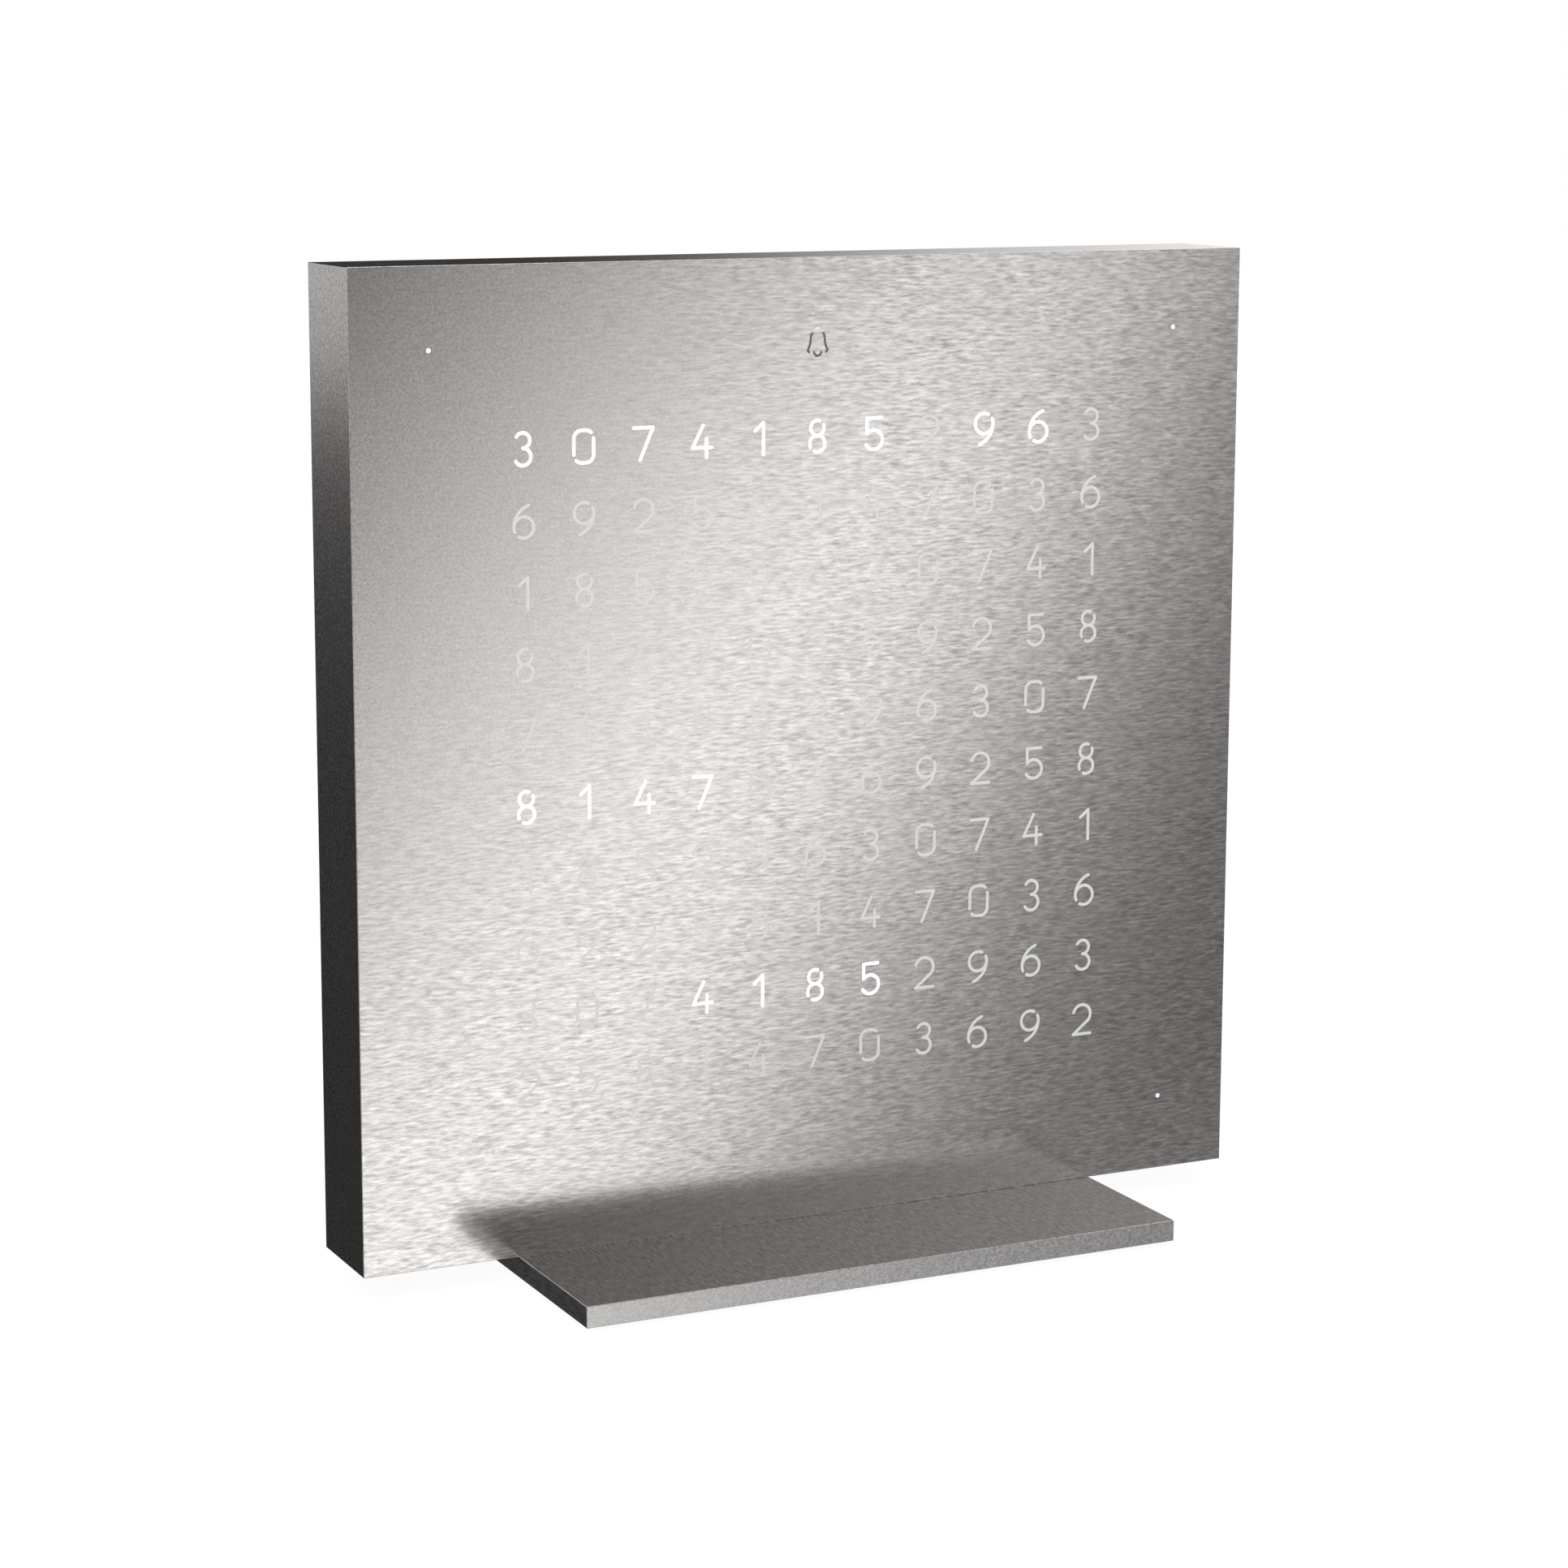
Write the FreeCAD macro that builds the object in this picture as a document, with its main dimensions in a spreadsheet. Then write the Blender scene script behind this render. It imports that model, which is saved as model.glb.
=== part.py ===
"""A desk word clock: a thin square steel case on a flat steel foot.

The face is a grid of stencil numerals cut through the steel and filled with milky resin.
Behind it lie a diffuser sheet, a light grid, a board of lamps and a rear cover with four
push buttons. Millimetres, +Z up, the face looks along -Y, and the origin is the middle of
the underside of the foot's pad.
"""
import FreeCAD, Part
import math
import os

import Sketcher

V = FreeCAD.Vector

SIZES = (
    ("face_width", 135, "width of the steel face"),
    ("face_height", 135, "height of the steel face"),
    ("body_depth", 15.3, "depth of the case, front to back"),
    ("sheet_thickness", 1, "thickness of the case's steel sheet"),
    ("edge_radius", 0.1, "rounding of the case's outer edges"),
    ("base_width", 90, "width of the foot plate"),
    ("base_depth", 62.5, "depth of the foot plate"),
    ("base_thickness", 3, "thickness of the foot plate"),
    ("base_edge_radius", 0.1, "rounding of the foot plate's edges"),
    ("pad_thickness", 0.6, "thickness of the pad under the foot plate"),
    ("pad_inset", 2, "distance of the pad from the foot plate's edge"),
    ("foot_length", 70, "length of the threaded block inside the case"),
    ("foot_depth", 8, "depth of the threaded block"),
    ("foot_height", 7, "height of the threaded block"),
    ("foot_screw_spacing", 50, "distance between the two foot screws"),
    ("foot_screw_diameter", 3, "thread diameter of a foot screw"),
    ("foot_screw_head", 6, "head diameter of a foot screw"),
    ("foot_screw_bite", 5, "length of a foot screw in the block"),
    ("foot_drive_width", 2, "width of a foot screw's hexagon socket"),
    ("foot_drive_depth", 1.2, "depth of a foot screw's hexagon socket"),
    ("column_count", 11, "number of characters in a row"),
    ("row_count", 10, "number of rows"),
    ("column_pitch", 8.67, "distance between columns"),
    ("row_pitch", 9.63, "distance between rows"),
    ("field_height", 67.3, "height of the field's middle above the case's lower edge"),
    ("cap_height", 4.8, "height of a numeral"),
    ("numeral_width", 3.3, "width of a numeral"),
    ("stroke_width", 0.46, "width of a numeral's slots"),
    ("bridge_width", 0.4, "steel left between two slots of a numeral"),
    ("corner_bend", 1.1, "bend radius of a numeral's corner, at the middle of the slot"),
    ("dot_diameter", 0.6, "diameter of a minute dot"),
    ("dot_inset", 11, "distance of a minute dot from the case's edges"),
    ("bell_height", 4.1, "height of the alarm bell"),
    ("bell_width", 3.4, "width of the alarm bell"),
    ("bell_stroke", 0.34, "width of the bell's slots"),
    ("bell_inset", 11.5, "distance of the bell's middle from the case's top"),
    ("diffuser_thickness", 0.8, "thickness of the diffuser sheet"),
    ("grid_depth", 5, "depth of the light grid"),
    ("grid_wall", 1, "thickness of the light grid's walls"),
    ("grid_flange", 1, "thickness of the light grid's front flange"),
    ("channel_diameter", 5, "diameter of the light channel behind a dot or the bell"),
    ("fit_gap", 0.4, "gap between the inner pieces and the case"),
    ("board_thickness", 1.2, "thickness of the circuit board"),
    ("lamp_width", 3.5, "width of a lamp"),
    ("lamp_height", 2.8, "height of a lamp"),
    ("lamp_depth", 0.7, "depth of a lamp"),
    ("stud_diameter", 2.5, "diameter of a welded stud"),
    ("stud_inset", 9.5, "distance of the studs from the case's side"),
    ("stud_pitch", 42, "height between two studs"),
    ("stud_bite", 2.5, "length of a stud in its spacer"),
    ("hole_gap", 0.2, "play of a stud or screw in a plain hole, on the radius"),
    ("thread_gap", 0.05, "play of a thread, on the radius"),
    ("boss_wall", 1.5, "wall of a boss round a stud or screw"),
    ("spacer_width", 4.5, "width across the flats of a spacer"),
    ("board_screw_diameter", 2, "thread diameter of a board screw"),
    ("board_screw_head", 3.8, "head diameter of a board screw"),
    ("board_screw_head_height", 1.4, "head height of a board screw"),
    ("board_screw_bite", 3.5, "length of a board screw in the light grid"),
    ("cover_thickness", 1.5, "thickness of the rear cover"),
    ("cover_inset", 0.3, "depth of the rear cover inside the case's rear edge"),
    ("cover_gap", 0.15, "gap round the rear cover"),
    ("cover_screw_length", 4, "length of a cover screw with its head"),
    ("cover_screw_head", 4.4, "head diameter of a cover screw"),
    ("drive_width", 1.5, "width of a small screw's hexagon socket"),
    ("drive_depth", 0.8, "depth of a small screw's hexagon socket"),
    ("button_pitch", 15, "distance between the rear buttons"),
    ("button_height", 20, "distance of the rear buttons below the case's top"),
    ("button_diameter", 6.6, "diameter of a button cap"),
    ("button_flange_diameter", 8.6, "diameter of a button cap's flange"),
    ("button_flange_thickness", 0.8, "thickness of a button cap's flange"),
    ("button_dimple_depth", 0.4, "depth of the dish in a button cap"),
    ("button_travel", 0.6, "travel of a button"),
    ("button_play", 0.1, "play of a button cap in the cover, on the radius"),
    ("switch_width", 6, "width of a switch"),
    ("switch_depth", 3.4, "depth of a switch's body"),
    ("switch_floor", 0.6, "floor under a switch's plunger"),
    ("plunger_diameter", 3.4, "diameter of a switch's plunger"),
    ("plunger_play", 0.1, "play of a plunger in its switch, on the radius"),
    ("dome_height", 0.35, "height of a switch's snap dome"),
    ("dome_thickness", 0.1, "thickness of a switch's snap dome"),
    ("dome_gap", 0.1, "gap between a pressed plunger and its snap dome"),
    ("socket_rise", 26, "height of the power socket above the case's lower edge"),
    ("socket_width", 8.94, "width of the power socket"),
    ("socket_height", 3.26, "height of the power socket"),
    ("socket_wall", 0.3, "wall of the power socket"),
    ("socket_depth", 6.5, "depth of the power socket on the board"),
    ("socket_floor", 1.2, "thickness of the power socket's insulator floor"),
    ("socket_play", 0.25, "gap round the power socket in the cover"),
    ("tongue_width", 6.2, "width of the power socket's tongue"),
    ("tongue_thickness", 0.7, "thickness of the power socket's tongue"),
    ("tongue_reach", 5.7, "reach of the power socket's tongue above the board"),
    ("sounder_diameter", 14, "diameter of the alarm sounder"),
    ("sounder_depth", 4.4, "depth of the alarm sounder"),
    ("sounder_hole", 2, "diameter of the sounder's hole"),
    ("sounder_hole_depth", 1.5, "depth of the sounder's hole"),
    ("sounder_side", 34, "distance of the sounder from the case's middle, to the side"),
    ("sounder_rise", 92, "height of the sounder above the case's lower edge"),
    ("vent_count", 5, "number of sound slots"),
    ("vent_pitch", 2.8, "distance between sound slots"),
    ("vent_length", 12, "length of a sound slot"),
    ("vent_width", 1.2, "width of a sound slot"),
    ("cell_diameter", 20, "diameter of the coin cell"),
    ("cell_thickness", 3.2, "thickness of the coin cell"),
    ("cell_edge", 0.3, "step at the coin cell's edge"),
    ("cell_play", 0.2, "gap round the coin cell, on the radius"),
    ("cell_side", 34, "distance of the coin cell from the case's middle, to the side"),
    ("cell_rise", 48, "height of the coin cell above the case's lower edge"),
    ("holder_wall", 1.6, "wall of the coin cell's holder"),
    ("holder_floor", 1, "floor of the coin cell's holder"),
    ("contact_width", 5, "width of the strip over the coin cell"),
    ("contact_thickness", 0.25, "thickness of the strip over the coin cell"),
    ("chip_width", 10, "width of the controller chip"),
    ("chip_thickness", 1.4, "thickness of a chip's body"),
    ("chip_rise", 68, "height of the controller chip above the case's lower edge"),
    ("lead_pitch", 0.8, "distance between a chip's leads"),
    ("lead_width", 0.35, "width of a chip's lead"),
    ("lead_reach", 1, "reach of a chip's lead beyond its body"),
    ("lead_thickness", 0.2, "thickness of a chip's lead"),
    ("chip_lead_count", 11, "number of leads on a side of the controller chip"),
    ("driver_count", 3, "number of lamp driver chips"),
    ("driver_pitch", 22, "distance between the lamp driver chips"),
    ("driver_length", 8.2, "length of a lamp driver chip"),
    ("driver_width", 5.3, "width of a lamp driver chip"),
    ("driver_rise", 88, "height of the lamp driver chips above the case's lower edge"),
    ("driver_lead_count", 9, "number of leads on a side of a lamp driver chip"),
    ("crystal_diameter", 2, "diameter of the clock crystal's can"),
    ("crystal_length", 6, "length of the clock crystal's can"),
    ("crystal_pin_diameter", 0.3, "diameter of the clock crystal's pins"),
    ("crystal_pin_length", 1.5, "length of the clock crystal's pins"),
    ("crystal_side", 12, "distance of the clock crystal from the case's middle, to the side"),
    ("capacitor_count", 3, "number of capacitors"),
    ("capacitor_pitch", 8, "distance between the capacitors"),
    ("capacitor_diameter", 5, "diameter of a capacitor"),
    ("capacitor_depth", 4.9, "depth of a capacitor"),
    ("capacitor_foot", 5.3, "width of a capacitor's square foot"),
    ("capacitor_foot_depth", 0.8, "depth of a capacitor's square foot"),
    ("capacitor_rise", 38, "height of the capacitors above the case's lower edge"),
    ("resistor_count", 12, "number of resistors"),
    ("resistor_pitch", 3.2, "distance between the resistors"),
    ("resistor_length", 2, "length of a resistor"),
    ("resistor_width", 1.25, "width of a resistor"),
    ("resistor_depth", 0.5, "depth of a resistor"),
    ("resistor_rise", 80, "height of the resistors above the case's lower edge"),
    ("spring_width", 4, "width of the touch spring"),
    ("spring_thickness", 0.25, "thickness of the touch spring"),
    ("spring_foot", 4, "length of the touch spring's foot"),
    ("spring_lift", 2.5, "distance of the touch spring's leaf from the board"),
    ("spring_side", 45, "distance of the touch spring from the case's middle, to the side"),
    ("label_width", 50, "width of the blank rating label"),
    ("label_height", 20, "height of the blank rating label"),
    ("label_thickness", 0.15, "thickness of the blank rating label"),
    ("label_rise", 60, "height of the blank rating label above the case's lower edge"),
)

LEVELS = (
    ("front", "-Sizes.body_depth / 2"),
    ("plate_back", "Level.front + Sizes.sheet_thickness"),
    ("diffuser_back", "Level.plate_back + Sizes.diffuser_thickness"),
    ("grid_back", "Level.diffuser_back + Sizes.grid_depth"),
    ("flange_back", "Level.diffuser_back + Sizes.grid_flange"),
    ("board_back", "Level.grid_back + Sizes.board_thickness"),
    ("rear", "Sizes.body_depth / 2"),
    ("cover_back", "Level.rear - Sizes.cover_inset"),
    ("cover_front", "Level.cover_back - Sizes.cover_thickness"),
    ("half_width", "Sizes.face_width / 2"),
    ("body_bottom", "Sizes.pad_thickness + Sizes.base_thickness"),
    ("body_top", "Level.body_bottom + Sizes.face_height"),
    ("middle", "Level.body_bottom + Sizes.face_height / 2"),
    ("inner_half_width", "Level.half_width - Sizes.sheet_thickness"),
    ("inner_bottom", "Level.body_bottom + Sizes.sheet_thickness"),
    ("inner_top", "Level.body_top - Sizes.sheet_thickness"),
    ("fit_half_width", "Level.inner_half_width - Sizes.fit_gap"),
    ("fit_bottom", "Level.inner_bottom + Sizes.fit_gap"),
    ("fit_top", "Level.inner_top - Sizes.fit_gap"),
    ("notch_half_width", "Sizes.foot_length / 2 + Sizes.fit_gap"),
    ("notch_top", "Level.inner_bottom + Sizes.foot_height + Sizes.fit_gap"),
    ("field_middle", "Level.body_bottom + Sizes.field_height"),
    ("first_column", "-(Sizes.column_count - 1) / 2 * Sizes.column_pitch"),
    ("first_row", "Level.field_middle + (Sizes.row_count - 1) / 2 * Sizes.row_pitch"),
    ("field_half_width", "(Sizes.column_count * Sizes.column_pitch + Sizes.grid_wall) / 2"),
    ("field_half_height", "(Sizes.row_count * Sizes.row_pitch + Sizes.grid_wall) / 2"),
    ("stud_side", "Level.half_width - Sizes.stud_inset"),
    ("dot_side", "Level.half_width - Sizes.dot_inset"),
    ("dot_bottom", "Level.body_bottom + Sizes.dot_inset"),
    ("dot_top", "Level.body_top - Sizes.dot_inset"),
    ("bell_middle", "Level.body_top - Sizes.bell_inset"),
    ("stud_hole", "Sizes.stud_diameter + 2 * Sizes.hole_gap"),
    ("board_screw_hole", "Sizes.board_screw_diameter + 2 * Sizes.hole_gap"),
    ("foot_screw_hole", "Sizes.foot_screw_diameter + 2 * Sizes.hole_gap"),
    ("foot_screw_length", "Sizes.base_thickness + Sizes.sheet_thickness + Sizes.foot_screw_bite"),
    ("channel_wall_diameter", "Sizes.channel_diameter + 2 * Sizes.grid_wall"),
    ("cap_front", "Level.cover_front - Sizes.button_travel / 2 - Sizes.button_flange_thickness"),
    ("dome_front", "Level.board_back + Sizes.switch_floor"),
    ("dome_back", "Level.dome_front + Sizes.dome_height + Sizes.dome_thickness"),
    ("plunger_front", "Level.dome_back + Sizes.dome_gap + Sizes.button_travel"),
    ("holder_back", "Level.board_back + Sizes.holder_floor + Sizes.cell_thickness"),
    ("buttons_middle", "Level.body_top - Sizes.button_height"),
    ("label_front", "Level.cover_back - Sizes.label_thickness"),
)

doc = FreeCAD.newDocument("WordClock")
nodes = []


def fill_sheet():
    """Put the driving sizes in a spreadsheet, one row each: name, value, meaning."""
    sheet = doc.addObject("Spreadsheet::Sheet", "Sizes")
    for row, (alias, size, meaning) in enumerate(SIZES, start=1):
        sheet.set(f"A{row}", alias)
        sheet.set(f"B{row}", str(size))
        sheet.setAlias(f"B{row}", alias)
        sheet.set(f"C{row}", meaning)
    doc.recompute()
    return sheet


def fill_levels():
    """Work out the levels that several pieces share from the driving sizes."""
    levels = doc.addObject("App::VarSet", "Level")
    for name, formula in LEVELS:
        levels.addProperty("App::PropertyFloat", name, "Level")
        levels.setExpression(name, formula)
    doc.recompute()


sizes = fill_sheet()
fill_levels()


def number(formula):
    """Value of a formula in the sheet's sizes and the shared levels."""
    return float(sizes.evalExpression(str(formula)))


def keep(piece, label):
    """Hand a piece in as a node of its own, under this name."""
    piece.Label = label
    nodes.append(piece)
    return piece


def place(piece, x="0", y="0", z="0"):
    """Bind a piece's place to three formulas."""
    for axis, formula in zip("xyz", (x, y, z)):
        piece.setExpression(f".Placement.Base.{axis}", formula)
    return piece


def face_backwards(piece):
    """Turn a piece so that its own Z axis points along +Y, out of the clock's back."""
    piece.Placement.Rotation = FreeCAD.Rotation(V(1, 0, 0), -90)
    return piece


# Sketches

def new_sketch(body, name, role, offset="0"):
    """A sketch on one of the body's origin planes, moved along the plane's normal."""
    sketch = body.newObject("Sketcher::SketchObject", name)
    plane = next(item for item in body.Origin.OriginFeatures if item.Role == role)
    sketch.AttachmentSupport = [(plane, "")]
    sketch.MapMode = "FlatFace"
    sketch.setExpression(".AttachmentOffset.Base.z", offset)
    return sketch


def upright_sketch(body, name, level):
    """A sketch in X and Z at a level of Y; a pad from it grows towards the front."""
    return new_sketch(body, name, "XZ_Plane", f"-({level})")


def bind(sketch, kind, where, formula):
    """Add a sketch constraint whose value is a formula, or lies on an axis where that is 0."""
    if formula == "0":
        axis = -2 if kind == "DistanceX" else -1
        sketch.addConstraint(Sketcher.Constraint("PointOnObject", *where[2:], axis))
        return
    index = sketch.addConstraint(Sketcher.Constraint(kind, *where, number(formula)))
    sketch.setExpression(f"Constraints[{index}]", formula)


def outline(sketch, points):
    """Draw a closed outline through points, each a pair of formulas."""
    first = sketch.GeometryCount
    count = len(points)
    corners = [V(number(x), number(y), 0) for x, y in points]
    sides = [Part.LineSegment(corner, corners[(index + 1) % count]) for index, corner in enumerate(corners)]
    sketch.addGeometry(sides, False)
    for index, (x, y) in enumerate(points):
        following = first + (index + 1) % count
        sketch.addConstraint(Sketcher.Constraint("Coincident", first + index, 2, following, 1))
        bind(sketch, "DistanceX", (-1, 1, first + index, 1), x)
        bind(sketch, "DistanceY", (-1, 1, first + index, 1), y)


def rectangle(sketch, left, right, bottom, top):
    """Draw a rectangle between four formulas."""
    outline(sketch, ((left, bottom), (right, bottom), (right, top), (left, top)))


def centred(sketch, width, height, x="0", y="0"):
    """Draw a rectangle of this width and height round a point."""
    rectangle(
        sketch,
        f"{x} - ({width}) / 2",
        f"{x} + ({width}) / 2",
        f"{y} - ({height}) / 2",
        f"{y} + ({height}) / 2",
    )


def circle(sketch, diameter, x="0", y="0"):
    """Draw a circle of this diameter round a point."""
    centre = V(number(x), number(y), 0)
    index = sketch.addGeometry(Part.Circle(centre, V(0, 0, 1), number(diameter) / 2), False)
    bind(sketch, "Diameter", (index,), diameter)
    bind(sketch, "DistanceX", (-1, 1, index, 3), x)
    bind(sketch, "DistanceY", (-1, 1, index, 3), y)


def stadium(sketch, width, height, x="0", y="0"):
    """Draw a slot with round ends: a rectangle whose short sides are half circles."""
    radius = f"({height}) / 2"
    reach = f"({width} - ({height})) / 2"
    left = V(number(f"{x} - {reach}"), number(y), 0)
    right = V(number(f"{x} + {reach}"), number(y), 0)
    rise = V(0, number(radius), 0)
    half_turn = math.pi / 2
    first = sketch.GeometryCount
    sketch.addGeometry(
        [
            Part.ArcOfCircle(Part.Circle(left, V(0, 0, 1), rise.y), half_turn, 3 * half_turn),
            Part.LineSegment(left - rise, right - rise),
            Part.ArcOfCircle(Part.Circle(right, V(0, 0, 1), rise.y), -half_turn, half_turn),
            Part.LineSegment(right + rise, left + rise),
        ],
        False,
    )
    joints = ((0, 2, 1, 1), (1, 2, 2, 1), (2, 2, 3, 1), (3, 2, 0, 1))
    for one, end, other, start in joints:
        sketch.addConstraint(Sketcher.Constraint("Tangent", first + one, end, first + other, start))
    bind(sketch, "Radius", (first,), radius)
    bind(sketch, "DistanceX", (-1, 1, first, 3), f"{x} - {reach}")
    bind(sketch, "DistanceY", (-1, 1, first, 3), y)
    bind(sketch, "DistanceX", (-1, 1, first + 2, 3), f"{x} + {reach}")
    bind(sketch, "DistanceY", (-1, 1, first + 2, 3), y)


# Features of a body

def new_body(name):
    """An empty body."""
    return doc.addObject("PartDesign::Body", name)


def pad(body, sketch, length, both_ways=False, backwards=False):
    """Grow a sketch by a length, away from its plane."""
    feature = body.newObject("PartDesign::Pad", sketch.Name + "_pad")
    feature.Profile = sketch
    feature.setExpression("Length", length)
    feature.Midplane = both_ways
    feature.Reversed = backwards
    sketch.Visibility = False
    doc.recompute()
    return feature


def cut_is_real(body, before):
    """Stop when a cutting feature has removed nothing."""
    if not body.Shape.Volume < before - 1e-6:
        raise ValueError(f"a cut in {body.Name} removes nothing")


def pocket(body, sketch, depth, along_normal=True):
    """Cut a sketch into the body by a depth, along its plane's normal or against it."""
    before = body.Shape.Volume
    feature = body.newObject("PartDesign::Pocket", sketch.Name + "_pocket")
    feature.Profile = sketch
    feature.setExpression("Length", depth)
    feature.Reversed = along_normal
    sketch.Visibility = False
    doc.recompute()
    cut_is_real(body, before)
    return feature


def countersunk_holes(body, sketch, diameter, head, against_normal=False):
    """Drill through at the sketch's circles, with a countersink for a flat head."""
    before = body.Shape.Volume
    doc.recompute()
    hole = body.newObject("PartDesign::Hole", sketch.Name + "_holes")
    hole.Profile = sketch
    hole.DepthType = "ThroughAll"
    hole.Reversed = not against_normal
    hole.setExpression("Diameter", diameter)
    hole.HoleCutType = "Countersink"
    hole.HoleCutCountersinkAngle = 90
    hole.setExpression("HoleCutDiameter", head)
    sketch.Visibility = False
    doc.recompute()
    cut_is_real(body, before)
    return hole


def round_edges(body, feature, radius, wanted):
    """Round the edges of the last feature that the test picks."""
    names = [f"Edge{index}" for index, edge in enumerate(feature.Shape.Edges, start=1) if wanted(edge)]
    fillet = body.newObject("PartDesign::Fillet", body.Name + "_rounding")
    fillet.Base = (feature, names)
    fillet.setExpression("Radius", radius)
    doc.recompute()
    return fillet


def repeat(body, feature, *rows):
    """Repeat a feature in one or two rows, each an axis of its sketch, a pitch and a count."""
    sketch = feature.Profile[0]
    steps = []
    for axis, pitch, count, backwards in rows:
        step = doc.addObject("PartDesign::LinearPattern", f"{feature.Name}_{axis}")
        body.addObject(step)
        step.Direction = (sketch, [axis])
        step.Reversed = backwards
        step.setExpression("Length", f"({pitch}) * ({count} - 1)")
        step.setExpression("Occurrences", count)
        steps.append(step)
    pattern = body.newObject("PartDesign::MultiTransform", feature.Name + "_pattern")
    pattern.Originals = [feature]
    pattern.Transformations = steps
    body.Tip = pattern
    doc.recompute()
    return pattern


def turned(name, profile):
    """A turned body about its own Z axis, from pairs of formulas for radius and height."""
    body = new_body(name)
    sketch = new_sketch(body, name + "_profile", "XZ_Plane")
    outline(sketch, profile)
    turn = body.newObject("PartDesign::Revolution", name + "_turn")
    turn.Profile = sketch
    turn.ReferenceAxis = (sketch, ["V_Axis"])
    turn.Angle = 360
    sketch.Visibility = False
    doc.recompute()
    return body


def block(name, width, depth, height, x, y, z):
    """A plain block, centred on x and z, growing along +Y from y."""
    box = doc.addObject("Part::Box", name)
    box.setExpression("Length", width)
    box.setExpression("Width", depth)
    box.setExpression("Height", height)
    place(box, f"{x} - ({width}) / 2", y, f"{z} - ({height}) / 2")
    return box


def group(label, pattern, spots, level):
    """Separate copies of one piece at (x, z) spots, all at the same level of Y."""
    copies = [pattern.Shape.translated(V(x, 0, z)) for x, z in spots]
    feature = doc.addObject("Part::Feature", label)
    feature.Shape = Part.makeCompound(copies)
    feature.Placement = FreeCAD.Placement(V(0, number(level), 0), FreeCAD.Rotation())
    return keep(feature, label)


def row_of(count, pitch, middle="0"):
    """Evenly spaced numbers round a middle."""
    amount = round(number(count))
    start = number(f"{middle} - ({pitch}) * ({count} - 1) / 2")
    return [start + index * number(pitch) for index in range(amount)]


# Places that several pieces share

SIDES = (-1, 1)
STUD_ROWS = (-1, 0, 1)


def stud_formulas():
    """The studs: three up each side."""
    return [(f"{side} * Level.stud_side", f"Level.middle + {row} * Sizes.stud_pitch")
            for side in SIDES for row in STUD_ROWS]


def board_screw_formulas():
    """The board screws: halfway between the studs."""
    return [(f"{side} * Level.stud_side", f"Level.middle + {row} * Sizes.stud_pitch / 2")
            for side in SIDES for row in SIDES]


def dot_formulas():
    """The minute dots: one in each corner."""
    return [(f"{side} * Level.dot_side", level) for side in SIDES for level in ("Level.dot_bottom", "Level.dot_top")]


def foot_screw_formulas():
    """The foot screws: one each side of the middle."""
    return [(f"{side} * Sizes.foot_screw_spacing / 2", "0") for side in SIDES]


def spots(formulas):
    """The numbers of a list of pairs of formulas."""
    return [(number(x), number(z)) for x, z in formulas]


def character_spots():
    """Middle of every character, row by row from the top left, with its row and column."""
    for row in range(round(number("Sizes.row_count"))):
        for column in range(round(number("Sizes.column_count"))):
            x = number("Level.first_column") + column * number("Sizes.column_pitch")
            z = number("Level.first_row") - row * number("Sizes.row_pitch")
            yield row, column, x, z


# Numerals, drawn with strokes along the middle of each slot

def line(*points):
    """Straight edges through points."""
    corners = [V(x, 0, z) for x, z in points]
    return [Part.LineSegment(one, other).toShape() for one, other in zip(corners, corners[1:])]


def bend(x, z, radius, start, end):
    """An arc edge about a centre, from one angle to another in degrees."""
    turns = [math.radians(angle) for angle in (start, (start + end) / 2, end)]
    through = [V(x + radius * math.cos(turn), 0, z + radius * math.sin(turn)) for turn in turns]
    return [Part.Arc(*through).toShape()]


def upside_down(stroke):
    """A stroke turned half round the middle of its numeral."""
    return [edge.rotated(V(), V(0, 1, 0), 180) for edge in stroke]


def gap_angle(radius):
    """Angle on a bend that leaves a bridge between two slots."""
    chord = number("Sizes.bridge_width + Sizes.stroke_width")
    return 2 * math.degrees(math.asin(min(1, chord / (2 * radius))))


def zero(wide, high):
    """Two halves of a round-cornered frame."""
    corner = min(number("Sizes.corner_bend"), 0.95 * wide)
    half = line((-wide, corner - high), (-wide, high - corner))
    half += bend(corner - wide, high - corner, corner, 180, 90)
    half += line((corner - wide, high), (wide - corner, high))
    half += bend(wide - corner, high - corner, corner, 90, gap_angle(corner))
    return [half, upside_down(half)]


def one(wide, high):
    """A stem with a flag."""
    return [line((-0.55 * wide, high - 0.75 * wide), (0.35 * wide, high), (0.35 * wide, -high))]


def two(wide, high):
    """A hook that runs down into a bar."""
    drop = math.sqrt(0.5) * wide
    stroke = bend(0, high - wide, wide, 165, -45)
    return [stroke + line((drop, high - wide - drop), (-wide, -high), (wide, -high))]


def three(wide, high):
    """Two bowls, the lower one larger."""
    upper = 0.47 * high
    lower = high - upper
    return [
        bend(-0.05 * wide, high - upper, upper, 150, -90),
        bend(-0.05 * wide, lower - high, lower, 90, -150),
    ]


def four(wide, high):
    """A slope with a bar, and a short stem through the bar."""
    bar = -0.4 * high
    return [
        line((0.1 * wide, high), (-wide, bar), (wide, bar)),
        line((0.45 * wide, 0.15 * high), (0.45 * wide, -high)),
    ]


def five(wide, high):
    """A bar, a short stem and a bowl."""
    bowl = 0.62 * high
    start = math.radians(140)
    left = bowl * math.cos(start)
    shoulder = bowl - high + bowl * math.sin(start)
    stroke = line((0.85 * wide, high), (left, high), (left, shoulder))
    return [stroke + bend(0, bowl - high, bowl, 140, -150)]


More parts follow.
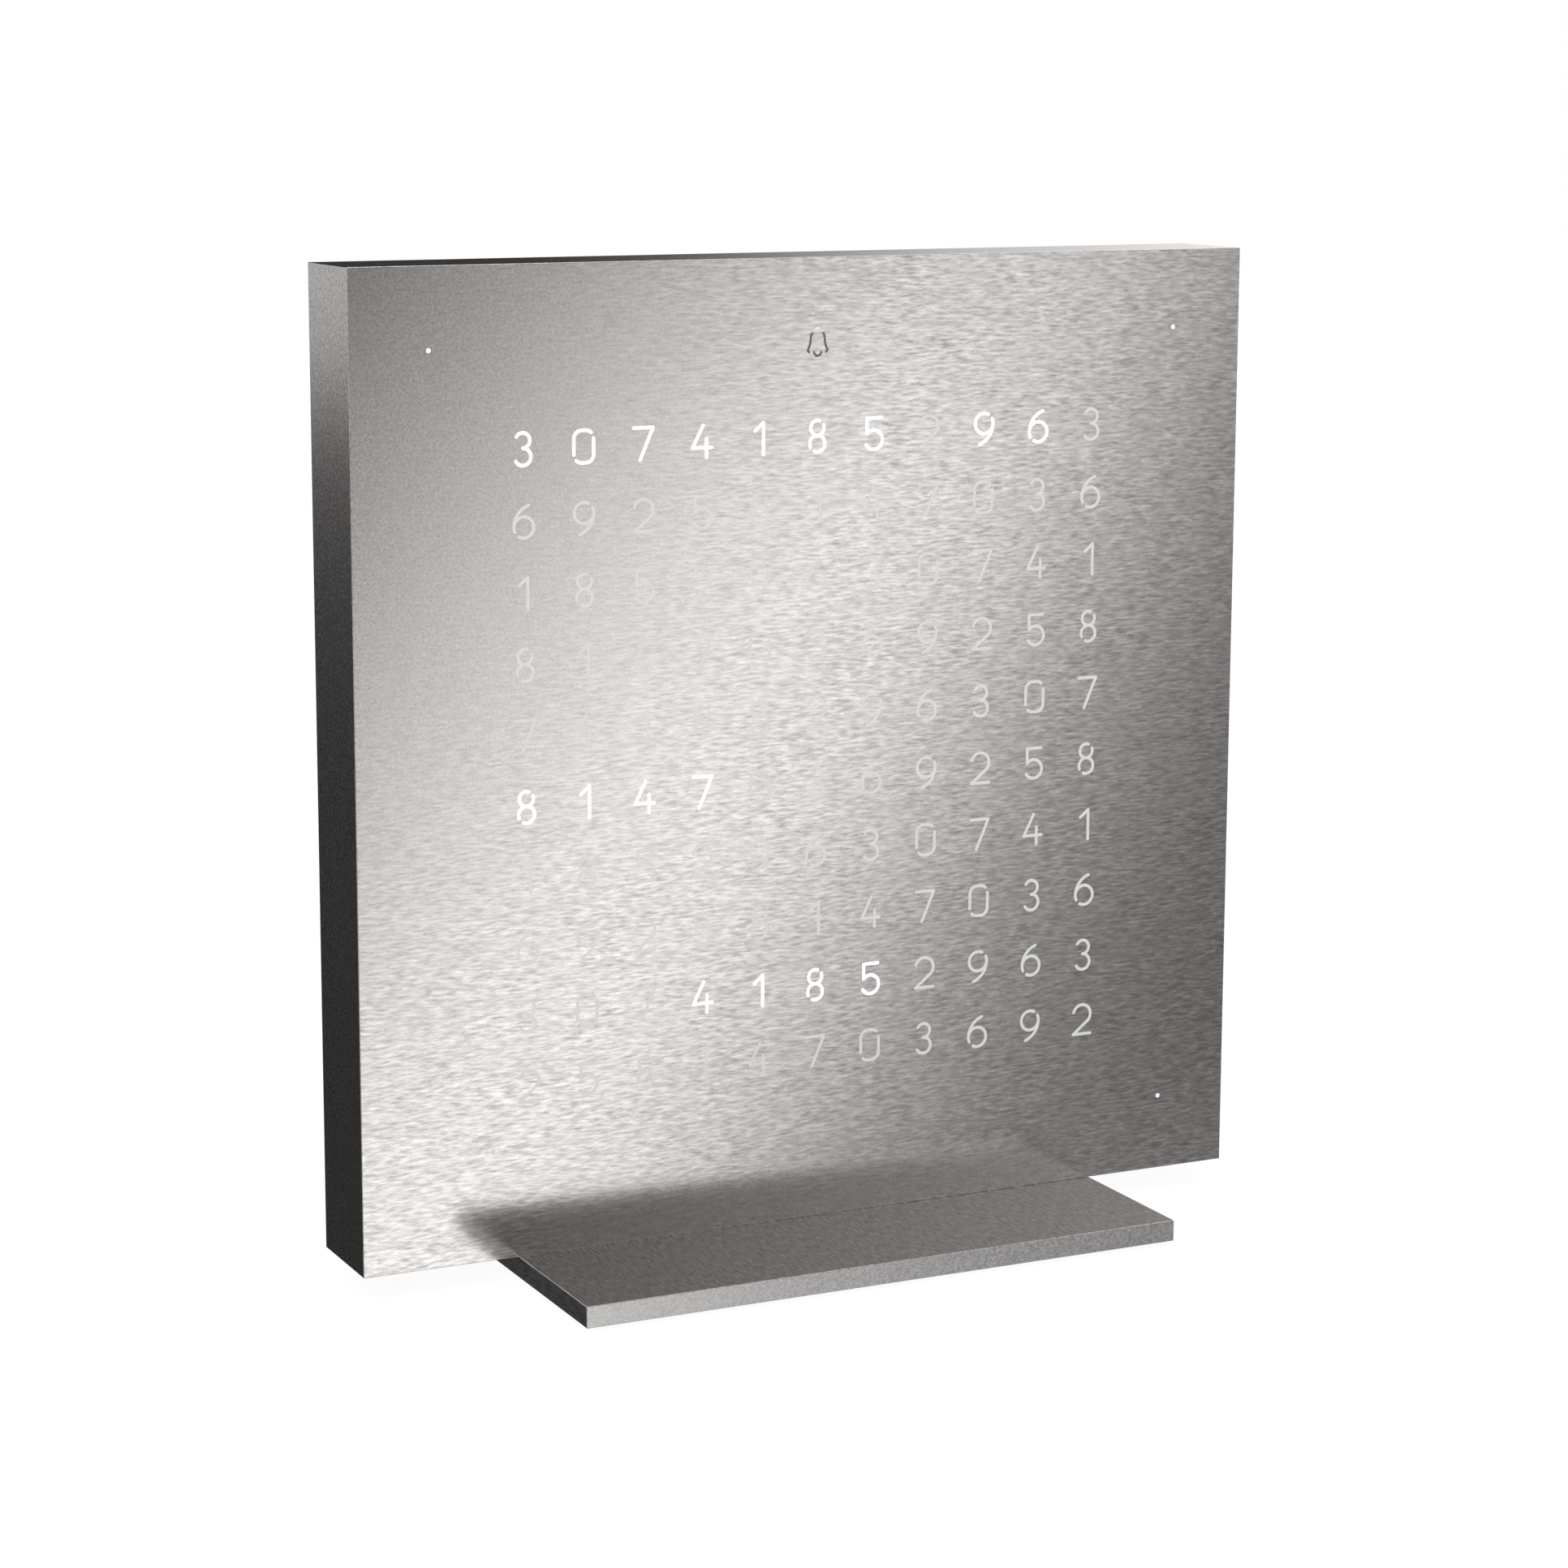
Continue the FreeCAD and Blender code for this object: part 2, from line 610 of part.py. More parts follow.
def six(wide, high):
    """A stem that sweeps down into a bowl with a gap at its lower left."""
    reach = 1.5 * wide
    rise = 2 * high - wide
    sweep = (reach ** 2 + rise ** 2) / (2 * reach)
    top = math.degrees(math.asin(rise / sweep))
    half_gap = gap_angle(wide) / 2
    stem = bend(sweep - wide, wide - high, sweep, 180 - top, 180)
    return [
        stem + bend(0, wide - high, wide, 180, 225 - half_gap),
        bend(0, wide - high, wide, 225 + half_gap, 540),
    ]


def seven(wide, high):
    """A bar and a slope."""
    return [line((-wide, high), (wide, high), (-0.35 * wide, -high))]


def eight(wide, high):
    """Two rings that touch, each with a gap."""
    upper = 0.47 * high
    lower = high - upper
    upper_gap = gap_angle(upper) / 2
    lower_gap = gap_angle(lower) / 2
    return [
        bend(0, high - upper, upper, 45 + upper_gap, 405 - upper_gap),
        bend(0, lower - high, lower, 225 + lower_gap, 585 - lower_gap),
    ]


def nine(wide, high):
    """A six turned over."""
    return [upside_down(stroke) for stroke in six(wide, high)]


NUMERALS = (zero, one, two, three, four, five, six, seven, eight, nine)


def bell_strokes():
    """The alarm bell: two flared sides with lips, a crown and a clapper."""
    wide = number("Sizes.bell_width - Sizes.bell_stroke") / 2
    high = number("Sizes.bell_height - Sizes.bell_stroke") / 2

    def through(*points):
        return [Part.Arc(*(V(x * wide, 0, z * high) for x, z in points)).toShape()]

    strokes = [
        through((-0.16, 0.93), (0, 1), (0.16, 0.93)),
        through((-0.36, -0.72), (0, -1), (0.36, -0.72)),
    ]
    for side in SIDES:
        upper = through((0.42 * side, 0.75), (0.62 * side, 0.54), (0.7 * side, 0.22))
        lower = through((0.7 * side, 0.22), (0.8 * side, -0.25), (side, -0.6))
        lip = line((side * wide, -0.6 * high), (0.84 * side * wide, -0.72 * high))
        strokes.append(upper + lower + lip)
    return strokes


def straight_rim(edge, width):
    """The rim of a round-ended slot along one straight edge, which has no plane of its own."""
    start, end = (vertex.Point for vertex in edge.Vertexes)
    ahead = (end - start).normalize() * (width / 2)
    aside = ahead.cross(V(0, 1, 0))
    return Part.Wire(
        [
            Part.LineSegment(start + aside, end + aside).toShape(),
            Part.Arc(end + aside, end + ahead, end - aside).toShape(),
            Part.LineSegment(end - aside, start - aside).toShape(),
            Part.Arc(start - aside, start - ahead, start + aside).toShape(),
        ]
    )


def slot_rim(stroke, width):
    """The rim of a round-ended slot along a stroke."""
    if len(stroke) == 1 and isinstance(stroke[0].Curve, Part.Line):
        return straight_rim(stroke[0], width)
    return Part.Wire(stroke).makeOffset2D(width / 2, 0, False, False, False)


def slot_faces(strokes, width):
    """Flat faces of round-ended slots along strokes, joined where they meet."""
    faces = [Part.Face(slot_rim(stroke, width)) for stroke in strokes]
    if len(faces) > 1:
        faces = faces[0].multiFuse(faces[1:]).removeSplitter().Faces
    return faces


def numeral_slots():
    """The slots of the numerals and the minute dots as flat shapes at Y = 0."""
    stroke = number("Sizes.stroke_width")
    wide = (number("Sizes.numeral_width") - stroke) / 2
    high = (number("Sizes.cap_height") - stroke) / 2
    numerals = [slot_faces(numeral(wide, high), stroke) for numeral in NUMERALS]
    faces = []
    for row, column, x, z in character_spots():
        step = 3 if row % 2 else 7
        numeral = numerals[(row * row + 2 * row + step * column + 3) % len(NUMERALS)]
        faces += [face.translated(V(x, 0, z)) for face in numeral]
    for x, z in spots(dot_formulas()):
        rim = Part.Wire(Part.makeCircle(number("Sizes.dot_diameter") / 2, V(x, 0, z), V(0, 1, 0)))
        faces.append(Part.Face(rim))
    return faces


def bell_slots():
    """The slots of the alarm bell as flat shapes at Y = 0."""
    middle = V(0, 0, number("Level.bell_middle"))
    return [face.translated(middle) for face in slot_faces(bell_strokes(), number("Sizes.bell_stroke"))]


def slot_solids(name, faces, thickness, level):
    """The slots grown along +Y by a thickness, from a level of Y."""
    feature = doc.addObject("Part::Feature", name)
    feature.Shape = Part.makeCompound([face.extrude(V(0, thickness, 0)) for face in faces])
    feature.Placement = FreeCAD.Placement(V(0, level, 0), FreeCAD.Rotation())
    return feature


# The case and its face

def make_face_shell(faces):
    """The steel case: a front plate and four walls from one sheet, open at the back."""
    body = new_body("shell_blank")
    sketch = upright_sketch(body, "shell_outline", "Level.rear")
    rectangle(sketch, "-Level.half_width", "Level.half_width", "Level.body_bottom", "Level.body_top")
    blank = pad(body, sketch, "Sizes.body_depth")
    rear = number("Level.rear")
    round_edges(body, blank, "Sizes.edge_radius", lambda edge: edge.BoundBox.YMin < rear - 0.01)
    sketch = upright_sketch(body, "shell_hollow", "Level.rear")
    rectangle(
        sketch, "-Level.inner_half_width", "Level.inner_half_width", "Level.inner_bottom", "Level.inner_top"
    )
    pocket(body, sketch, "Sizes.body_depth - Sizes.sheet_thickness")
    sketch = new_sketch(body, "shell_foot_holes", "XY_Plane", "Level.body_bottom")
    for x, y in foot_screw_formulas():
        circle(sketch, "Level.foot_screw_hole", x, y)
    pocket(body, sketch, "Sizes.sheet_thickness")

    thickness = number("Sizes.sheet_thickness")
    cutters = slot_solids("slot_cutters", faces, 2 * thickness, number("Level.front") - thickness / 2)
    shell = doc.addObject("Part::Cut", "face_shell")
    shell.Base = body
    shell.Tool = cutters
    doc.recompute()
    return keep(shell, "face_shell")


def make_inlay(label, faces):
    """Resin cast into slots, level with both sides of the steel."""
    inlay = slot_solids(label, faces, number("Sizes.sheet_thickness"), number("Level.front"))
    return keep(inlay, label)


def make_diffuser():
    """The milky sheet behind the steel face."""
    body = new_body("diffuser_sheet")
    sketch = upright_sketch(body, "diffuser_outline", "Level.diffuser_back")
    rectangle(sketch, "-Level.fit_half_width", "Level.fit_half_width", "Level.fit_bottom", "Level.fit_top")
    for x, z in stud_formulas():
        circle(sketch, "Level.stud_hole", x, z)
    pad(body, sketch, "Sizes.diffuser_thickness")
    return keep(body, "diffuser_sheet")


def make_light_grid():
    """The white moulding that keeps the light of each lamp behind its own character."""
    body = new_body("grid_blank")
    sketch = upright_sketch(body, "flange_outline", "Level.flange_back")
    rectangle(sketch, "-Level.fit_half_width", "Level.fit_half_width", "Level.fit_bottom", "Level.fit_top")
    pad(body, sketch, "Sizes.grid_flange")
    sketch = upright_sketch(body, "rim_outline", "Level.grid_back")
    rectangle(sketch, "-Level.fit_half_width", "Level.fit_half_width", "Level.fit_bottom", "Level.fit_top")
    rectangle(
        sketch,
        "Sizes.grid_wall - Level.fit_half_width",
        "Level.fit_half_width - Sizes.grid_wall",
        "Level.fit_bottom + Sizes.grid_wall",
        "Level.fit_top - Sizes.grid_wall",
    )
    pad(body, sketch, "Sizes.grid_depth")
    sketch = upright_sketch(body, "field_outline", "Level.grid_back")
    centred(sketch, "2 * Level.field_half_width", "2 * Level.field_half_height", "0", "Level.field_middle")
    pad(body, sketch, "Sizes.grid_depth")
    sketch = upright_sketch(body, "boss_outlines", "Level.grid_back")
    for x, z in stud_formulas():
        circle(sketch, "Level.stud_hole + 2 * Sizes.boss_wall", x, z)
    for x, z in board_screw_formulas():
        circle(sketch, "Sizes.board_screw_diameter + 2 * Sizes.boss_wall", x, z)
    for x, z in dot_formulas() + [("0", "Level.bell_middle")]:
        circle(sketch, "Level.channel_wall_diameter", x, z)
    pad(body, sketch, "Sizes.grid_depth")

    sketch = upright_sketch(body, "grid_holes", "Level.grid_back")
    for x, z in stud_formulas():
        circle(sketch, "Level.stud_hole", x, z)
    for x, z in dot_formulas() + [("0", "Level.bell_middle")]:
        circle(sketch, "Sizes.channel_diameter", x, z)
    pocket(body, sketch, "Sizes.grid_depth")
    sketch = upright_sketch(body, "pilot_holes", "Level.grid_back")
    for x, z in board_screw_formulas():
        circle(sketch, "Sizes.board_screw_diameter + 2 * Sizes.thread_gap", x, z)
    pocket(body, sketch, "Sizes.board_screw_bite + Sizes.hole_gap")
    sketch = upright_sketch(body, "grid_notch", "Level.grid_back")
    rectangle(
        sketch, "-Level.notch_half_width", "Level.notch_half_width", "Level.inner_bottom", "Level.notch_top"
    )
    pocket(body, sketch, "Sizes.grid_depth - Sizes.grid_flange")

    wide = number("Sizes.column_pitch - Sizes.grid_wall")
    high = number("Sizes.row_pitch - Sizes.grid_wall")
    corner = V(-wide / 2, -high / 2, 0)
    cell = Part.makePlane(wide, high, corner, V(0, 0, 1)).rotated(V(), V(1, 0, 0), 90)
    cell = cell.extrude(V(0, 3 * number("Sizes.grid_depth"), 0))
    cells = doc.addObject("Part::Feature", "light_cells")
    cells.Shape = Part.makeCompound([cell.translated(V(x, 0, z)) for _, _, x, z in character_spots()])
    cells.Placement.Base = V(0, number("Level.grid_back - 2 * Sizes.grid_depth"), 0)
    grid = doc.addObject("Part::Cut", "light_grid")
    grid.Base = body
    grid.Tool = cells
    doc.recompute()
    return keep(grid, "light_grid")


# The board and what is on it

def make_board():
    """The circuit board behind the light grid, with a notch for the foot's block."""
    body = new_body("main_board")
    sketch = upright_sketch(body, "board_outline", "Level.board_back")
    outline(
        sketch,
        (
            ("-Level.fit_half_width", "Level.fit_bottom"),
            ("-Level.notch_half_width", "Level.fit_bottom"),
            ("-Level.notch_half_width", "Level.notch_top"),
            ("Level.notch_half_width", "Level.notch_top"),
            ("Level.notch_half_width", "Level.fit_bottom"),
            ("Level.fit_half_width", "Level.fit_bottom"),
            ("Level.fit_half_width", "Level.fit_top"),
            ("-Level.fit_half_width", "Level.fit_top"),
        ),
    )
    for x, z in stud_formulas():
        circle(sketch, "Level.stud_hole", x, z)
    for x, z in board_screw_formulas():
        circle(sketch, "Level.board_screw_hole", x, z)
    pad(body, sketch, "Sizes.board_thickness")
    return keep(body, "main_board")


def make_lamps():
    """A lamp behind every character, minute dot and bell."""
    lamp = block("lamp", "Sizes.lamp_width", "Sizes.lamp_depth", "Sizes.lamp_height", "0", "0", "0")
    doc.recompute()
    places = [(x, z) for _, _, x, z in character_spots()]
    places += spots(dot_formulas() + [("0", "Level.bell_middle")])
    return group("lamps", lamp, places, "Level.grid_back - Sizes.lamp_depth")


def chip_shape(width, height, lead_count, sides):
    """A flat chip on Y = 0 with a row of leads on each of the sides, given in quarter turns."""
    thickness = number("Sizes.chip_thickness")
    lead_width = number("Sizes.lead_width")
    lead_thickness = number("Sizes.lead_thickness")
    reach = number("Sizes.lead_reach")
    leads = []
    for side in sides:
        edge = (height, width)[side % 2] / 2
        for x in row_of(lead_count, "Sizes.lead_pitch"):
            corner = V(x - lead_width / 2, 0, edge - reach / 2)
            lead = Part.makeBox(lead_width, lead_thickness, 1.5 * reach, corner)
            leads.append(lead.rotated(V(), V(0, 1, 0), 90 * side))
    return Part.makeBox(width, thickness, height, V(-width / 2, 0, -height / 2)).multiFuse(leads)


def make_chips():
    """The controller chip and the row of lamp drivers."""
    width = number("Sizes.chip_width")
    controller = doc.addObject("Part::Feature", "controller_chip")
    controller.Shape = chip_shape(width, width, "Sizes.chip_lead_count", (0, 1, 2, 3))
    place(controller, "0", "Level.board_back", "Level.body_bottom + Sizes.chip_rise")
    keep(controller, "controller_chip")
    driver = doc.addObject("Part::Feature", "driver")
    driver.Shape = chip_shape(
        number("Sizes.driver_length"), number("Sizes.driver_width"), "Sizes.driver_lead_count", (0, 2)
    )
    height = number("Level.body_bottom + Sizes.driver_rise")
    places = [(x, height) for x in row_of("Sizes.driver_count", "Sizes.driver_pitch")]
    group("lamp_drivers", driver, places, "Level.board_back")


def make_crystal():
    """The clock crystal: a small can lying on the board, with two pins."""
    body = turned(
        "clock_crystal",
        (
            ("0", "0"),
            ("Sizes.crystal_diameter / 2", "0"),
            ("Sizes.crystal_diameter / 2", "Sizes.crystal_length"),
            ("0", "Sizes.crystal_length"),
        ),
    )
    sketch = new_sketch(body, "crystal_pins", "XY_Plane")
    for side in SIDES:
        circle(sketch, "Sizes.crystal_pin_diameter", f"{side} * Sizes.crystal_diameter / 4", "0")
    pad(body, sketch, "Sizes.crystal_pin_length", backwards=True)
    place(
        body,
        "Sizes.crystal_side",
        "Level.board_back + Sizes.crystal_diameter / 2",
        "Level.body_bottom + Sizes.chip_rise - Sizes.crystal_length / 2",
    )
    return keep(body, "clock_crystal")


def make_small_parts():
    """The capacitors and the row of resistors."""
    can = face_backwards(
        turned(
            "capacitor_can",
            (
                ("0", "0"),
                ("Sizes.capacitor_diameter / 2", "0"),
                ("Sizes.capacitor_diameter / 2", "Sizes.capacitor_depth"),
                ("0", "Sizes.capacitor_depth"),
            ),
        )
    )
    foot = block(
        "capacitor_base", "Sizes.capacitor_foot", "Sizes.capacitor_foot_depth", "Sizes.capacitor_foot", "0", "0", "0"
    )
    capacitor = doc.addObject("Part::Fuse", "capacitor")
    capacitor.Base = can
    capacitor.Tool = foot
    resistor = block(
        "resistor", "Sizes.resistor_length", "Sizes.resistor_depth", "Sizes.resistor_width", "0", "0", "0"
    )
    doc.recompute()
    height = number("Level.body_bottom + Sizes.capacitor_rise")
    places = [(x, height) for x in row_of("Sizes.capacitor_count", "Sizes.capacitor_pitch")]
    group("capacitors", capacitor, places, "Level.board_back")
    height = number("Level.body_bottom + Sizes.resistor_rise")
    places = [(x, height) for x in row_of("Sizes.resistor_count", "Sizes.resistor_pitch")]
    group("resistors", resistor, places, "Level.board_back")


def make_coin_cell():
    """The coin cell that keeps the time, its holder and the strip that holds it down."""
    cell = turned(
        "coin_cell",
        (
            ("0", "0"),
            ("Sizes.cell_diameter / 2 - Sizes.cell_edge", "0"),
            ("Sizes.cell_diameter / 2 - Sizes.cell_edge", "Sizes.cell_edge"),
            ("Sizes.cell_diameter / 2", "2 * Sizes.cell_edge"),
            ("Sizes.cell_diameter / 2", "Sizes.cell_thickness"),
            ("0", "Sizes.cell_thickness"),
        ),
    )
    height = "Level.body_bottom + Sizes.cell_rise"
    place(face_backwards(cell), "Sizes.cell_side", "Level.board_back + Sizes.holder_floor", height)
    keep(cell, "coin_cell")

    holder = new_body("coin_cell_holder")
    sketch = upright_sketch(holder, "holder_outline", "Level.holder_back")
    width = "(Sizes.cell_diameter + 2 * Sizes.cell_play + 2 * Sizes.holder_wall)"
    centred(sketch, width, width, "Sizes.cell_side", height)
    pad(holder, sketch, "Sizes.holder_floor + Sizes.cell_thickness")
    sketch = upright_sketch(holder, "holder_well", "Level.holder_back")
    circle(sketch, "Sizes.cell_diameter + 2 * Sizes.cell_play", "Sizes.cell_side", height)
    pocket(holder, sketch, "Sizes.cell_thickness")
    keep(holder, "coin_cell_holder")

    strip = block(
        "coin_cell_contact",
        width,
        "Sizes.contact_thickness",
        "Sizes.contact_width",
        "Sizes.cell_side",
        "Level.holder_back",
        height,
    )
    keep(strip, "coin_cell_contact")


def make_sounder():
    """The alarm sounder behind the sound slots."""
    body = turned(
        "alarm_sounder",
        (
            ("0", "0"),
            ("Sizes.sounder_diameter / 2", "0"),
            ("Sizes.sounder_diameter / 2", "Sizes.sounder_depth"),
            ("Sizes.sounder_hole / 2", "Sizes.sounder_depth"),
            ("Sizes.sounder_hole / 2", "Sizes.sounder_depth - Sizes.sounder_hole_depth"),
            ("0", "Sizes.sounder_depth - Sizes.sounder_hole_depth"),
        ),
    )
    place(face_backwards(body), "-Sizes.sounder_side", "Level.board_back", "Level.body_bottom + Sizes.sounder_rise")
    return keep(body, "alarm_sounder")


def make_power_socket():
    """The power socket: a thin steel tube round an insulator with a tongue."""
    height = "Level.body_bottom + Sizes.socket_rise"
    shell = new_body("power_socket_shell")
    sketch = upright_sketch(shell, "socket_outline", "Level.board_back")
    stadium(sketch, "Sizes.socket_width", "Sizes.socket_height", "0", height)
    inner_width = "Sizes.socket_width - 2 * Sizes.socket_wall"
    inner_height = "Sizes.socket_height - 2 * Sizes.socket_wall"
    stadium(sketch, inner_width, inner_height, "0", height)
    pad(shell, sketch, "Sizes.socket_depth", backwards=True)
    keep(shell, "power_socket_shell")

    insulator = new_body("power_socket_tongue")
    sketch = upright_sketch(insulator, "insulator_floor", "Level.board_back")
    stadium(sketch, inner_width, inner_height, "0", height)
    pad(insulator, sketch, "Sizes.socket_floor", backwards=True)
    sketch = upright_sketch(insulator, "insulator_tongue", "Level.board_back")
    centred(sketch, "Sizes.tongue_width", "Sizes.tongue_thickness", "0", height)
    pad(insulator, sketch, "Sizes.tongue_reach", backwards=True)
    keep(insulator, "power_socket_tongue")


def make_touch_spring():
    """The leaf spring that ties the board to the case, for the touch control."""
    body = new_body("touch_spring")
    sketch = new_sketch(body, "spring_profile", "YZ_Plane", "Sizes.spring_side")
    foot_bottom = "(Level.fit_top - 1.5 * Sizes.spring_foot)"
    foot_top = "(Level.fit_top - Sizes.spring_foot / 2)"
    outline(
        sketch,
        (
            ("Level.board_back", foot_bottom),
            ("Level.board_back + Sizes.spring_thickness", foot_bottom),
            ("Level.board_back + Sizes.spring_thickness", f"{foot_top} - Sizes.spring_thickness"),
            ("Level.board_back + Sizes.spring_lift", f"{foot_top} - Sizes.spring_thickness"),
            ("Level.board_back + Sizes.spring_lift", "Level.inner_top"),
            ("Level.board_back + Sizes.spring_lift - Sizes.spring_thickness", "Level.inner_top"),
            ("Level.board_back + Sizes.spring_lift - Sizes.spring_thickness", foot_top),
            ("Level.board_back", foot_top),
        ),
    )
    pad(body, sketch, "Sizes.spring_width", both_ways=True)
    return keep(body, "touch_spring")


# The push buttons

BUTTONS = ("hour", "minute", "alarm", "dimmer")


def button_spots():
    """The buttons: one row near the top of the rear cover."""
    height = number("Level.buttons_middle")
    return [(x, height) for x in row_of(str(len(BUTTONS)), "Sizes.button_pitch")]


def button_formulas():
    """The same places as formulas, for what is bound to them."""
    middle = (len(BUTTONS) - 1) / 2
    return [(f"{index - middle} * Sizes.button_pitch", "Level.buttons_middle") for index in range(len(BUTTONS))]


def make_switches():
    """The fixed parts of the four switches: bodies and snap domes."""
    blank = block("switch_blank", "Sizes.switch_width", "Sizes.switch_depth", "Sizes.switch_width", "0", "0", "0")
    bore = doc.addObject("Part::Cylinder", "switch_bore")
    bore.setExpression("Radius", "Sizes.plunger_diameter / 2 + Sizes.plunger_play")
    bore.setExpression("Height", "Sizes.switch_depth - Sizes.switch_floor")
    face_backwards(bore)
    place(bore, "0", "Sizes.switch_floor", "0")
    switch = doc.addObject("Part::Cut", "switch")
    switch.Base = blank
    switch.Tool = bore
    dome = face_backwards(
        turned(
            "dome",
            (
                ("0", "Sizes.dome_height"),
                ("Sizes.plunger_diameter / 2", "0"),
                ("Sizes.plunger_diameter / 2", "Sizes.dome_thickness"),
                ("0", "Sizes.dome_height + Sizes.dome_thickness"),
            ),
        )
    )
    doc.recompute()
    group("switch_bodies", switch, button_spots(), "Level.board_back")
    group("switch_domes", dome, button_spots(), "Level.dome_front")


def make_button(name, x, z):
    """A button cap in the rear cover and the switch plunger that it presses."""
    cap = turned(
        name + "_button_cap",
        (
            ("0", "0"),
            ("Sizes.button_flange_diameter / 2", "0"),
            ("Sizes.button_flange_diameter / 2", "Sizes.button_flange_thickness"),
            ("Sizes.button_diameter / 2", "Sizes.button_flange_thickness"),
            ("Sizes.button_diameter / 2", "Level.rear - Level.cap_front"),
            ("Sizes.button_diameter / 4", "Level.rear - Level.cap_front"),
            ("0", "Level.rear - Level.cap_front - Sizes.button_dimple_depth"),
        ),
    )
    place(face_backwards(cap), x, "Level.cap_front", z)
    keep(cap, name + "_button_cap")

    plunger = turned(
        name + "_switch_plunger",
        (
            ("0", "0"),
            ("Sizes.plunger_diameter / 2", "0"),
            ("Sizes.plunger_diameter / 2", "Level.cap_front - Level.plunger_front"),
            ("0", "Level.cap_front - Level.plunger_front"),
        ),
    )
    place(face_backwards(plunger), x, "Level.plunger_front", z)
    keep(plunger, name + "_switch_plunger")


# Rear cover and fasteners

def make_rear_cover():
    """The black moulded cover, with holes for screws, buttons, socket and sound."""
    body = new_body("rear_cover")
    sketch = upright_sketch(body, "cover_outline", "Level.cover_back")
    rectangle(
        sketch,
        "Sizes.cover_gap - Level.inner_half_width",
        "Level.inner_half_width - Sizes.cover_gap",
        "Level.inner_bottom + Sizes.cover_gap",
        "Level.inner_top - Sizes.cover_gap",
    )
    for x, z in button_formulas():
        circle(sketch, "Sizes.button_diameter + 2 * Sizes.button_play", x, z)
    stadium(
        sketch,
        "Sizes.socket_width + 2 * Sizes.socket_play",
        "Sizes.socket_height + 2 * Sizes.socket_play",
        "0",
        "Level.body_bottom + Sizes.socket_rise",
    )
    pad(body, sketch, "Sizes.cover_thickness")
    sketch = upright_sketch(body, "label_recess", "Level.cover_back")
    centred(sketch, "Sizes.label_width", "Sizes.label_height", "0", "Level.body_bottom + Sizes.label_rise")
    pocket(body, sketch, "Sizes.label_thickness")
    sketch = upright_sketch(body, "sound_slot", "Level.cover_back")
    first = "Level.body_bottom + Sizes.sounder_rise - Sizes.vent_pitch * (Sizes.vent_count - 1) / 2"
    stadium(sketch, "Sizes.vent_length", "Sizes.vent_width", "-Sizes.sounder_side", first)
    slot = pocket(body, sketch, "Sizes.cover_thickness")
    repeat(body, slot, ("V_Axis", "Sizes.vent_pitch", "Sizes.vent_count", False))
    sketch = upright_sketch(body, "cover_screw_holes", "Level.cover_back")
    for x, z in stud_formulas():
        circle(sketch, "Level.stud_hole", x, z)
    countersunk_holes(body, sketch, "Level.stud_hole", "Sizes.cover_screw_head + 2 * Sizes.thread_gap")
    return keep(body, "rear_cover")


def make_label():
    """The blank rating label in its recess."""
    label = block(
        "rating_label",
        "Sizes.label_width",
        "Sizes.label_thickness",
        "Sizes.label_height",
        "0",
        "Level.label_front",
        "Level.body_bottom + Sizes.label_rise",
    )
    return keep(label, "rating_label")


def flat_head_screw(name, diameter, head, length, drive_width, drive_depth):
    """A countersunk screw along +Z with its head's face on Z = 0 and a hexagon socket."""
    cone = f"(({head}) - ({diameter})) / 2"
    blank = turned(
        name + "_blank",
        (
            ("0", "0"),
            (f"({head}) / 2", "0"),
            (f"({diameter}) / 2", cone),
            (f"({diameter}) / 2", length),
            ("0", length),
        ),
    )
    drive = doc.addObject("Part::Prism", name + "_drive")
    drive.Polygon = 6
    drive.setExpression("Circumradius", f"{drive_width} / sqrt(3)")
    drive.setExpression("Height", drive_depth)
    screw = doc.addObject("Part::Cut", name)
    screw.Base = blank
    screw.Tool = drive
    doc.recompute()
    return screw


def pointing_forwards(screw):
    """Turn a finished screw so that it points along -Y, into the clock from the back."""
    screw.Placement.Rotation = FreeCAD.Rotation(V(1, 0, 0), 90)
    doc.recompute()
    return screw


